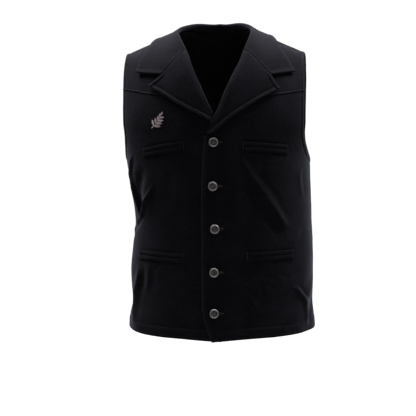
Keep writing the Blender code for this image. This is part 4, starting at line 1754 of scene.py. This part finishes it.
@dataclass
class Lapel:
    """A lapel: two layers of wool that roll round the front's edge and lie turned back on the front."""

    pattern: Pattern
    side: Side
    step: float = 0.0024
    thickness: float = 0.0034
    edge_stand_off: float = 0.0026
    belly: float = 0.0018
    belly_width: float = 0.0085
    edge: Topstitch = OUTER_EDGE
    gorge: Topstitch = GORGE
    flat: tuple[float, float] = (0.090, 0.245)
    area: float = 0.0118

    def outline(self) -> Patch:
        """Draws the turned-back part.

        Returns:
            Its outline, from the roll to the outer edge, and from its foot to the gorge and notch.
        """
        p, form, half = self.pattern, self.pattern.form, self.pattern.half(self.side)
        inner = join(*p.roll(self.side))
        outer = form.places(smooth_spots(half.lapel_edge), self.side)
        gorge = form.places(smooth_spots(half.gorge, 30), self.side) - (0, p.lap_gap)
        notch = form.places(smooth_spots(half.lapel_top, 20), self.side) - (0, p.lap_gap)
        inner[-1], notch[-1] = gorge[0], outer[-1]
        bottom = line_of(form, FRONT, [np.linspace(inner[0], outer[0], 12)])
        top = line_of(form, FRONT, [gorge, notch])
        sides = [line_of(form, FRONT, [line]) for line in (inner, outer)]
        return Patch(form, FRONT, bottom, top, *sides, top.knots)

    def build(self) -> None:
        """Makes the lapel and its stitches."""
        p, form = self.pattern, self.pattern.form
        outline = self.outline()
        margins = {
            Edge.BOTTOM: (0.0, 0.0008, 0.0022),
            Edge.TOP: margin(self.edge.inset),
            Edge.START: (0.0, 0.0012, 0.0028),
            Edge.END: margin(self.edge.inset),
        }
        grid = outline.grid(self.step, margins)
        plain = form.point(*np.moveaxis(grid.places, -1, 0), FRONT)
        base = p.front_lift(plain[..., 0], self.side) + p.cloth
        from_roll = np.linalg.norm(plain - plain[:, :1], axis=-1) / self.belly_width
        from_foot = lengths(plain[:, 0])[:, None]
        rolled = self.belly * from_roll * np.exp(1 - from_roll) * smooth_step(from_foot, 0.0, 0.050)
        flat = base + p.lap_gap + self.edge_stand_off * grid.across**1.5 + rolled
        fold = grid.places[:, 0]
        normals = form.outward(fold[:, 0], fold[:, 1], FRONT)
        corner = form.cloth(fold, FRONT, base[:, 0])
        away = unit(-self.side * np.cross(normals, np.gradient(corner, axis=0)))
        faces = []
        for distance, lift in ((p.lap_gap, flat), (p.lap_gap + self.thickness, flat + self.thickness)):
            turned = [corner - normals * p.cloth - away * distance]
            for angle in np.radians(np.arange(180, 91, -12)):
                turned.append(corner + (away * math.cos(angle) + normals * math.sin(angle)) * distance)
            lying = form.cloth(grid.places, FRONT, lift)
            faces.append(np.concatenate([np.stack(turned, axis=1), lying], axis=1))
        notch = len(turned) + nearest(grid.across[-1], outline.across_knots[0])
        sewn = (
            Sewn(Edge.END, self.edge),
            Sewn(Edge.TOP, self.edge, first=notch),
            Sewn(Edge.TOP, self.gorge, last=notch + 1),
        )
        word = self.side.word
        wall = Wall(f"lapel_leaf_{word}", *faces, sewn)
        made, stitches = sewn_cloth(wall, f"lapel_{word}", f"lapel_stitches_{word}")


@dataclass
class Collar:
    """The collar: its stand rises from the neck seam, folds over, and falls on the shoulders."""

    pattern: Pattern
    thickness: float = 0.0034
    spring: float = 0.0018
    rows_from: float = 0.172
    row_step: float = 0.0020
    fall_from: float = 0.078
    fall_step: float = 0.0026
    stand_lines: int = 6
    fold_lines: int = 10
    gorge_share: float = 0.75
    evening_rounds: int = 14
    evened_rows: tuple[int, int] = (12, 24)
    edge: Topstitch = OUTER_EDGE
    gorge: Topstitch = GORGE
    stand: tuple[Station, ...] = (
        Station(0.00, 0.0025, 0, 0),
        Station(0.15, 0.0040, 26, 8),
        Station(0.38, 0.0062, 56, 15),
        Station(0.70, 0.0135, 60, 14),
        Station(1.00, 0.0235, 63, 13),
    )
    flat: tuple[float, float] = (0.690, 0.115)
    area: float = 0.0512

    def outline(self, side: Side) -> Patch:
        """Draws one half of the fall.

        Args:
            side: Which half.

        Returns:
            Its outline, from the neck seam to its edge and from the gorge to the centre back.
        """
        p, form, half = self.pattern, self.pattern.form, self.pattern.half(side)
        front_neck, back_neck = p.neck(side)
        front_neck = p.up_the_back(front_neck)
        on_ridge = [form.place(side * half.collar_on_ridge, 1.0, BACK)]
        in_front = p.up_the_back(form.places(half.collar_edge, side))
        corners = np.vstack([in_front, on_ridge, form.places(p.collar_back_edge, side, BACK)])
        along = lengths(corners * (form.arch_radius, 1))
        fine = np.linspace(0, along[-1], 160)
        edge = np.stack([smooth_curve(along, corners[:, k], fine) for k in (0, 1)], axis=-1)
        gorge, bottom = (
            p.up_the_back(form.places(smooth_spots(spots, 40), side)) - (0, p.lap_gap)
            for spots in (half.gorge, half.collar_bottom)
        )
        front_neck[0], edge[0] = gorge[0], bottom[-1]
        centre = np.linspace(back_neck[-1], edge[-1], 20)
        return Patch(
            form,
            BACK,
            line_of(form, BACK, [gorge, bottom], (self.gorge_share,)),
            line_of(form, BACK, [centre]),
            line_of(form, BACK, [front_neck, back_neck]),
            line_of(form, BACK, [edge]),
        )

    def half_sections(self, side: Side) -> Array:
        """Draws the middle of one half of the collar.

        Args:
            side: Which half.

        Returns:
            A row of sections from the gorge to the centre back.
        """
        p, form, half = self.pattern, self.pattern.form, self.pattern.half(side)
        outline = self.outline(side)
        rows = graded(self.rows_from, self.rows_from, margin(self.edge.inset), (0.0, 0.001), self.row_step)
        rough = outline.at(*np.meshgrid(np.linspace(0, 1, 25), rows))
        widths = lengths_across(form.point(rough[..., 0], rough[..., 1], BACK))
        lines = (self.fall_from, (0.0, 0.0015), margin(self.edge.inset), self.fall_step)
        across = graded(widths[:, None], *lines)
        usual = graded(self.fall_from, *lines)
        across += (meeting(across, usual, (self.gorge_share,)) - across) * ((1 - rows) ** 3)[:, None]
        grid = outline.at(across, np.repeat(rows[:, None], across.shape[1], axis=1))
        height, lean, drop = (column(self.stand, name, "share", rows) for name in Station._fields[1:])
        height, lean, drop = height[:, None], np.radians(lean), np.radians(drop)
        neck = grid[:, 0]
        seam = form.cloth(neck, BACK, 0.0)
        normals = form.outward(neck[:, 0], neck[:, 1], BACK)
        away = unit(-side * np.cross(normals, np.gradient(seam, axis=0)))
        up = normals * np.cos(lean)[:, None] - away * np.sin(lean)[:, None]
        aside = away * np.cos(lean)[:, None] + normals * np.sin(lean)[:, None]
        foot = seam + normals * (self.thickness / 2 * np.sin(lean) + p.rest_gap)[:, None]
        foot -= away * (2 * p.rest_gap + self.thickness / 2 * np.cos(lean))[:, None]
        section = [foot + up * height * s for s in np.linspace(0, 1, self.stand_lines + 1)[:-1]]
        radius = self.thickness / 2 + p.lap_gap
        middle = foot + up * height + aside * radius
        sweep = math.pi / 2 + lean + drop
        for share in np.linspace(0, 1, self.fold_lines + 1):
            angle = (sweep * share)[:, None]
            section.append(middle - aside * radius * np.cos(angle) + up * radius * np.sin(angle))
        clear = p.cloth + p.lap_gap + self.thickness / 2
        overhang = section[-1] - form.cloth(neck, BACK, clear)
        spring = self.spring + (half.spring - self.spring) * (1 - smooth_step(rows, 0.08, 0.30))
        for k in range(1, across.shape[1]):
            w = across[:, k]
            fallen = form.cloth(grid[:, k], BACK, clear + spring * w**1.5)
            section.append(fallen + overhang * ((1 - w) ** 2.2)[:, None])
        return np.stack(section, axis=1)

    def notch_line(self) -> int:
        """Finds the notch.

        Returns:
            Number of the fall's grid line that meets it.
        """
        width = self.fall_from
        lines = graded(width, width, (0.0, 0.0015), margin(self.edge.inset), self.fall_step)
        return nearest(lines, self.gorge_share)

    def build(self) -> None:
        """Makes the collar and its stitches."""
        left, right = self.half_sections(Side.LEFT), self.half_sections(Side.RIGHT)
        centre = (left[-1:] + right[-1:]) / 2 * (0, 1, 1)
        whole = np.concatenate([left[:-1], centre, right[:-1][::-1]])
        rows = np.arange(len(whole))
        free = smooth_step(np.minimum(rows, rows[::-1]), *self.evened_rows)[1:-1, None, None]
        for _ in range(self.evening_rounds):
            evened = (whole[:-2] + 2 * whole[1:-1] + whole[2:]) / 4
            whole[1:-1] += (evened - whole[1:-1]) * free
        normals = unit(np.cross(np.gradient(whole, axis=1), np.gradient(whole, axis=0)))
        normals *= np.sign(normals[len(whole) // 2, -6, 1])
        first_fall = self.stand_lines + self.fold_lines
        notch = first_fall + self.notch_line()
        sewn = (
            Sewn(Edge.END, self.edge),
            Sewn(Edge.BOTTOM, self.edge, first=notch),
            Sewn(Edge.TOP, self.edge, first=notch),
            Sewn(Edge.BOTTOM, self.gorge, first=first_fall, last=notch + 1),
            Sewn(Edge.TOP, self.gorge, first=first_fall, last=notch + 1),
        )
        half = normals * self.thickness / 2
        wall = Wall("collar_leaf", whole - half, whole + half, sewn)
        made, stitches = sewn_cloth(wall, "collar", "collar_stitches")


# Small work on the fronts


class Band(NamedTuple):
    """A raised band of close stitches: half its width, the height of its crest, and one stitch's width."""

    half_width: float
    height: float
    stitch: float


@dataclass
class OnFront:
    """Lays shapes, drawn as they show from the front, on the cloth of the fronts."""

    pattern: Pattern
    side: Side

    def laid(self, flat: Array, out: Array | float) -> Array:
        """Points on the front.

        Args:
            flat: Rows of (x, z) as they show from the front.
            out: Distance off the front's outer face.

        Returns:
            The points, in the shape of flat with a last axis of 3.
        """
        p, form = self.pattern, self.pattern.form
        spots = np.array([form.place(x, z) for x, z in flat.reshape(-1, 2)]).reshape(flat.shape)
        x = form.point(*np.moveaxis(spots, -1, 0), FRONT)[..., 0]
        lift = p.front_lift(x, self.side) + p.cloth
        return form.cloth(spots, FRONT, lift + out)

    def satin(self, name: str, path: Array, band: Band, taper: Array | float = 1.0) -> Object:
        """Sews a raised band of close stitches along a path.

        Args:
            name: The piece's name.
            path: Points (x, z) of the band's middle.
            band: Its sizes.
            taper: Share of its width at each of the points.

        Returns:
            The band.
        """
        half_width = np.broadcast_to(band.half_width * taper, len(path))[:, None]
        along = unit(np.gradient(path, axis=0))
        across = np.stack([-along[:, 1], along[:, 0]], axis=1)
        shares = np.linspace(-1, 1, 9)
        flat = path[:, None] + across[:, None] * (half_width * shares)[..., None]
        travelled = lengths(path)[:, None] + 0.5 * half_width * np.abs(shares)
        ridges = 0.16 * np.abs(np.sin(math.pi * travelled / band.stitch))
        crest = np.sqrt(np.clip(1.04 - shares**2, 0, 1))[None]
        high = self.laid(flat, band.height * crest * (0.86 + ridges))
        return Wall(name, self.laid(flat, -0.0002), high).build()


def merged(name: str, parts: Sequence[Object]) -> Object:
    """Makes one piece of several.

    Args:
        name: Its name.
        parts: The pieces, which are removed.

    Returns:
        The piece.
    """
    points, faces, first = [], [], 0
    for part in parts:
        points += [tuple(v.co) for v in part.data.vertices]
        faces += [[first + k for k in p.vertices] for p in part.data.polygons]
        first = len(points)
        bpy.data.objects.remove(part)
    return add_mesh(name, np.array(points), faces)


@dataclass
class Pocket(OnFront):
    """A piped pocket: an upper and a lower welt with the slit between them."""

    name: str = "chest"
    slit: tuple[Spot, ...] = ()
    welt_height: float = 0.0088
    opening: float = 0.0012
    piping: float = 0.0019
    columns: int = 64
    flat_height: float = 0.0102
    press_half_width: float = 0.0014
    press_depth: float = 0.0009
    bar: Band = Band(0.0011, 0.0024, 0.0006)
    bar_inset: float = 0.0010

    def strip(self, sign: int, shares: Array) -> Array:
        """Draws one welt.

        Args:
            sign: 1 for the upper one, -1 for the lower one.
            shares: Shares of its height away from the slit.

        Returns:
            Points (x, z).
        """
        spots = smooth_spots(self.slit, self.columns)
        across = np.array([self.side * s.across for s in spots])
        heights = np.array([s.height for s in spots])
        offsets = sign * (self.opening / 2 + self.welt_height * shares)
        x, z = np.broadcast_arrays(across[None, :], heights[None, :] + offsets[:, None])
        return np.stack([x, z], axis=-1)

    def furrow(self) -> Ditch:
        """Finds what the pocket presses into the front.

        Returns:
            The furrow round the pocket.
        """
        edge = np.array([1.06])
        top, bottom = self.strip(1, edge)[0], self.strip(-1, edge)[0]
        line = self.laid(np.vstack([top, bottom[::-1], top[:1]]), -self.pattern.cloth / 2)
        return Ditch(line, self.press_half_width, self.press_depth)

    def build(self) -> None:
        """Makes the two welts and the bars at their ends."""
        place = f"{self.name}_{self.side.word}"
        shares = (1 - np.cos(np.linspace(0, math.pi, 13))) / 2
        for word, sign in (("upper", 1), ("lower", -1)):
            flat = self.strip(sign, shares)
            wall = Wall(
                f"welt_{place}_{word}_strip",
                self.laid(flat, self.pattern.rest_gap),
                self.laid(flat, self.pattern.rest_gap + self.piping),
                fullness=self.welt_height / self.piping * 0.8,
            )
            made = dress(wall.build(), WOOL, [f"welt_{place}_{word}"])
        ends = []
        for share in (0, -1):
            bottom, top = (self.strip(sign, np.array([0.96]))[0, share] for sign in (-1, 1))
            inward = (1 if share == 0 else -1) * self.side * self.bar_inset
            ends.append(self.satin("bar", np.linspace(bottom, top, 40) + (inward, 0), self.bar))
        dress(merged(f"pocket_bars_{place}", ends), WOOL_THREAD)


@dataclass
class Buttonholes(OnFront):
    """Worked buttonholes in the left front, running inward from the buttons."""

    spots: tuple[Spot, ...] = ()
    before: float = 0.0045
    beyond: float = 0.0185
    half_height: float = 0.0017
    slit_half_width: float = 0.0012
    slit_depth: float = 0.0010
    band: Band = Band(0.0012, 0.0011, 0.0007)

    def path(self, spot: Spot) -> Array:
        """Draws the loop that a buttonhole's stitches follow.

        Args:
            spot: Middle of the button.

        Returns:
            Points (x, z).
        """
        turn = np.linspace(0, 2 * math.pi, 100)
        middle = spot.across + (self.beyond - self.before) / 2
        reach = (self.beyond + self.before) / 2
        x = middle + reach * np.sign(np.cos(turn)) * np.abs(np.cos(turn)) ** 0.55
        return np.stack([x, spot.height + self.half_height * np.sin(turn)], axis=-1)

    def furrow(self, spot: Spot) -> Ditch:
        """Finds the slit of a buttonhole.

        Args:
            spot: Middle of the button.

        Returns:
            The slit.
        """
        x = np.linspace(spot.across - self.before, spot.across + self.beyond, 12)
        line = self.laid(np.stack([x, np.full(12, spot.height)], axis=-1), -self.pattern.cloth / 2)
        return Ditch(line, self.slit_half_width, self.slit_depth)

    def build(self) -> None:
        """Makes the buttonholes' stitches."""
        loops = [self.satin("loop", self.path(spot), self.band) for spot in self.spots]
        dress(merged("buttonhole_stitches", loops), WOOL_THREAD)


@dataclass
class Sprig(OnFront):
    """A small plain sprig of leaves, embroidered on the wearer's right chest."""

    middle: Spot = Spot(-0.1215, -0.1955)
    reach: float = 0.0165
    leaves: int = 4
    leaf: float = 0.0150
    tilt_deg: float = 52.0
    bend: float = 0.0030
    stem: Band = Band(0.00065, 0.0007, 0.0011)

    def build(self) -> None:
        """Makes the sprig."""
        tilt = math.radians(self.tilt_deg)
        way = np.array([math.cos(tilt), math.sin(tilt)])
        aside = np.array([-way[1], way[0]])
        shares = np.linspace(-1, 1, 60)
        middle = np.array(self.middle)
        stem = middle + shares[:, None] * way * self.reach + (shares**2)[:, None] * aside * self.bend
        parts = [self.satin("stem", stem, self.stem)]
        for k in range(self.leaves):
            share = -0.62 + 1.30 * k / (self.leaves - 1)
            root = middle + share * way * self.reach + share**2 * aside * self.bend
            for sign in (-1, 1):
                size = self.leaf * (1.0 - 0.11 * k)
                parts.append(self.one_leaf(root, tilt + sign * math.radians(48 - 5 * k), size, sign))
        parts.append(self.one_leaf(stem[-1], tilt + 0.12, self.leaf * 0.62, 1))
        dress(merged("sprig", parts), SPRIG_THREAD)

    def one_leaf(self, root: Array, angle: float, size: float, bend: int) -> Object:
        """Sews one leaf.

        Args:
            root: Point (x, z) where it starts.
            angle: Its direction.
            size: Its length.
            bend: 1 or -1, the side to which it bends.

        Returns:
            The leaf.
        """
        way = np.array([math.cos(angle), math.sin(angle)])
        aside = np.array([-way[1], way[0]])
        shares = np.linspace(0, 1, 30)
        path = root + shares[:, None] * way * size + (bend * 0.12 * size * shares**2)[:, None] * aside
        taper = np.maximum(np.sin(math.pi * shares**0.85), 0.10)
        return self.satin("leaf", path, Band(0.19 * size, 0.0009, 0.0008), taper)


@dataclass
class Button(OnFront):
    """A cast metal button with a raised rim round a sunk rosette. Its rim is a row of radii and heights."""

    number: int = 1
    spot: Spot = Spot(0, 0)
    spokes: int = 96
    rim_mm: tuple[tuple[float, float], ...] = (
        (0.01, 0), (2.9, 0), (3.0, 0.2), (3.0, 1.1), (3.4, 1.3), (6.0, 1.4), (8.4, 1.6), (9.4, 2.0),
        (9.8, 2.6), (9.8, 3.2), (9.6, 3.7), (9.2, 4.1), (8.7, 4.4), (8.2, 4.5), (7.7, 4.4), (7.3, 4.1),
        (7.0, 3.7), (6.8, 3.3), (6.5, 3.0),
    )
    dish_rings: int = 26
    dish: float = 0.0029
    petals: int = 6
    beads: int = 24
    notches: int = 40

    def face(self, radius: Array, turn: Array) -> Array:
        """Shapes the sunk face: petals round a boss, and a ring of beads.

        Args:
            radius: Distances from the middle.
            turn: Angles.

        Returns:
            Heights.
        """
        petal = np.clip(np.cos(self.petals * turn), 0, 1) ** 0.6 * hump(radius, 0.0034, 0.0013)
        boss = hump(radius, 0.0, 0.0010)
        beads = np.clip(np.cos(self.beads * turn), 0, 1) * hump(radius, 0.0056, 0.0004)
        return self.dish + 0.00055 * petal + 0.00065 * boss + 0.00025 * beads

    def build(self) -> None:
        """Makes the button."""
        form = self.pattern.form
        centre = self.laid(np.array([self.spot]), self.pattern.rest_gap)[0]
        normal = form.outward(*np.array(form.place(*self.spot))[:, None], FRONT)[0]
        aside = unit(np.cross((0.0, 0.0, 1.0), normal))
        upward = np.cross(normal, aside)
        turns = np.linspace(0, 2 * math.pi, self.spokes, endpoint=False)
        rim, height = (np.round(np.array(self.rim_mm) / 1000, 6)).T[:, :, None]
        inner = np.linspace(rim[-1], 0.00001, self.dish_rings)[1:]
        radii = np.vstack([rim, inner])
        milled = 0.00009 * np.cos(self.notches * turns) * hump(rim, 0.0084, 0.0009)
        outs = np.vstack([height + milled * (height > 0.0036), self.face(inner, turns + 0.3 * self.number)])
        spokes = aside * np.cos(turns)[:, None] + upward * np.sin(turns)[:, None]
        points = centre + radii[..., None] * spokes[None] + outs[..., None] * normal
        low = 1 - smooth_step(outs, self.dish + 0.00010, self.dish + 0.00062)
        sunk = np.maximum(low, 0.55 * hump(radii, 0.0068, 0.0007))
        hollow = np.where((radii < 0.0068) & (outs > 0.0021), sunk, 0.5 * (outs < 0.0018))
        marks = {"hollow": hollow.ravel()}
        made = add_mesh(f"button_{self.number}_cast", points.reshape(-1, 3), ring_faces(*outs.shape), marks)
        dress(made, METAL, [f"button_{self.number}"])


# The studio


@dataclass
class Lamp:
    """A soft square lamp that looks at a point."""

    name: str
    place: Triple
    aim: Triple
    size: float
    power: float
    colour: Triple = (1.0, 1.0, 1.0)

    def build(self) -> None:
        """Makes the lamp."""
        light = bpy.data.lights.new(self.name, "AREA")
        light.shape, light.size, light.energy, light.color = "SQUARE", self.size, self.power, self.colour
        made = bpy.data.objects.new(self.name, light)
        made.location = self.place
        made.rotation_euler = (Vector(self.aim) - Vector(self.place)).to_track_quat("-Z", "Y").to_euler()
        bpy.context.scene.collection.objects.link(made)


@dataclass
class Studio:
    """Pale floor, soft light and the camera."""

    floor_height: float = -1.45
    floor_radius: float = 14.0
    azimuth_deg: float = 5.0
    elevation_deg: float = 4.0
    distance: float = 3.2
    target_height: float = -0.384
    shift: float = 0.024
    sensor: float = 36.0
    lens: float = 36.0 * 1454 / 416
    backdrop: float = 1.05
    surroundings: float = 0.010
    lamps: tuple[Lamp, ...] = (
        Lamp("top_right", (-1.05, 0.14, 1.45), (0.0, 0.0, -0.12), 0.8, 72.0),
        Lamp("top_left", (1.05, 0.14, 1.45), (0.0, 0.0, -0.12), 0.8, 72.0),
        Lamp("top_front", (0.15, -0.50, 1.6), (0.0, 0.0, -0.20), 0.7, 8.0),
        Lamp("front", (1.3, -2.4, 1.3), (0.0, 0.0, -0.35), 1.0, 6.0),
        Lamp("rim_right", (-1.20, 1.25, -0.90), (0.0, 0.0, -0.50), 0.7, 12.0, (0.80, 0.89, 1.0)),
        Lamp("rim_left", (1.00, 1.45, -1.05), (0.0, 0.0, -0.55), 0.7, 15.0, (0.80, 0.89, 1.0)),
    )

    def build(self) -> None:
        """Makes the floor, the light and the camera."""
        turns = np.linspace(0, 2 * math.pi, 96, endpoint=False)
        radii = np.array([0.001, 2.0, 5.0, 9.0, self.floor_radius])[:, None]
        x, y = radii * np.cos(turns), radii * np.sin(turns)
        points = np.stack([x, y, np.full(x.shape, self.floor_height)], axis=-1)
        floor = add_mesh("floor", points.reshape(-1, 3), ring_faces(*x.shape))
        floor.data.materials.append(FloorFinish().material())
        for lamp in self.lamps:
            lamp.build()
        self.light_surroundings()
        self.place_camera()

    def light_surroundings(self) -> None:
        """A pale backdrop that lights the vest less than it shows."""
        world = bpy.data.worlds.new("studio")
        world.use_nodes = True
        bpy.context.scene.world = world
        bpy.context.scene.view_settings.view_transform = "Standard"
        g = Graph(world.node_tree)
        seen = g.node("LightPath").outputs["Is Camera Ray"]
        strength = g.rising(seen, self.backdrop - self.surroundings, self.surroundings)
        background = world.node_tree.nodes["Background"]
        g.feed(background, {"Strength": strength, "Color": (1.0, 1.0, 1.0, 1.0)})

    def place_camera(self) -> None:
        """Camera at the photograph's angle."""
        azimuth, elevation = math.radians(self.azimuth_deg), math.radians(self.elevation_deg)
        right = Vector((math.cos(azimuth), math.sin(azimuth), 0))
        level = math.cos(elevation)
        back = Vector((math.sin(azimuth) * level, -math.cos(azimuth) * level, math.sin(elevation)))
        camera = bpy.data.cameras.new("camera")
        camera.lens, camera.sensor_width = self.lens, self.sensor
        made = bpy.data.objects.new("camera", camera)
        made.location = Vector((0, 0, self.target_height)) - right * self.shift + back * self.distance
        made.rotation_euler = (-back).to_track_quat("-Z", "Y").to_euler()
        bpy.context.scene.collection.objects.link(made)
        bpy.context.scene.camera = made


BUTTON_SPOTS = drawn((-0.6, -235.9), (-2.1, -328.5), (2.2, -419.4), (0.8, -511.9), (1.2, -598.9))
POCKET_SLITS = (
    ("chest", Side.LEFT, drawn((59.6, -244), (103.7, -246.8), (152.3, -251.6))),
    ("chest", Side.RIGHT, drawn((62.9, -243.7), (101, -248.6), (151.8, -259.5))),
    ("waist", Side.LEFT, drawn((69.6, -477.5), (120, -477), (164.9, -474.1))),
    ("waist", Side.RIGHT, drawn((62.5, -482.5), (110, -481.8), (164, -479.5))),
)


def main() -> None:
    """Builds the vest on its frame, and the studio round it."""
    logging.basicConfig(level=logging.INFO, format="%(message)s")
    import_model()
    pattern = Pattern(BodyForm())
    pockets = [Pocket(pattern, side, name, slit) for name, side, slit in POCKET_SLITS]
    holes = Buttonholes(pattern, Side.LEFT, BUTTON_SPOTS)
    Back(pattern).build()
    for side in Side:
        furrows = [pocket.furrow() for pocket in pockets if pocket.side == side]
        if side == Side.LEFT:
            furrows += [holes.furrow(spot) for spot in BUTTON_SPOTS]
        front = Front(pattern, side, furrows)
        front.build()
        Yoke(pattern, side, front).build()
        Lapel(pattern, side).build()
    Collar(pattern).build()
    for pocket in pockets:
        pocket.build()
    holes.build()
    Sprig(pattern, Side.RIGHT).build()
    for number, spot in enumerate(BUTTON_SPOTS, 1):
        Button(pattern, Side.LEFT, number, spot).build()
    Studio().build()


if __name__ == "__main__":
    main()
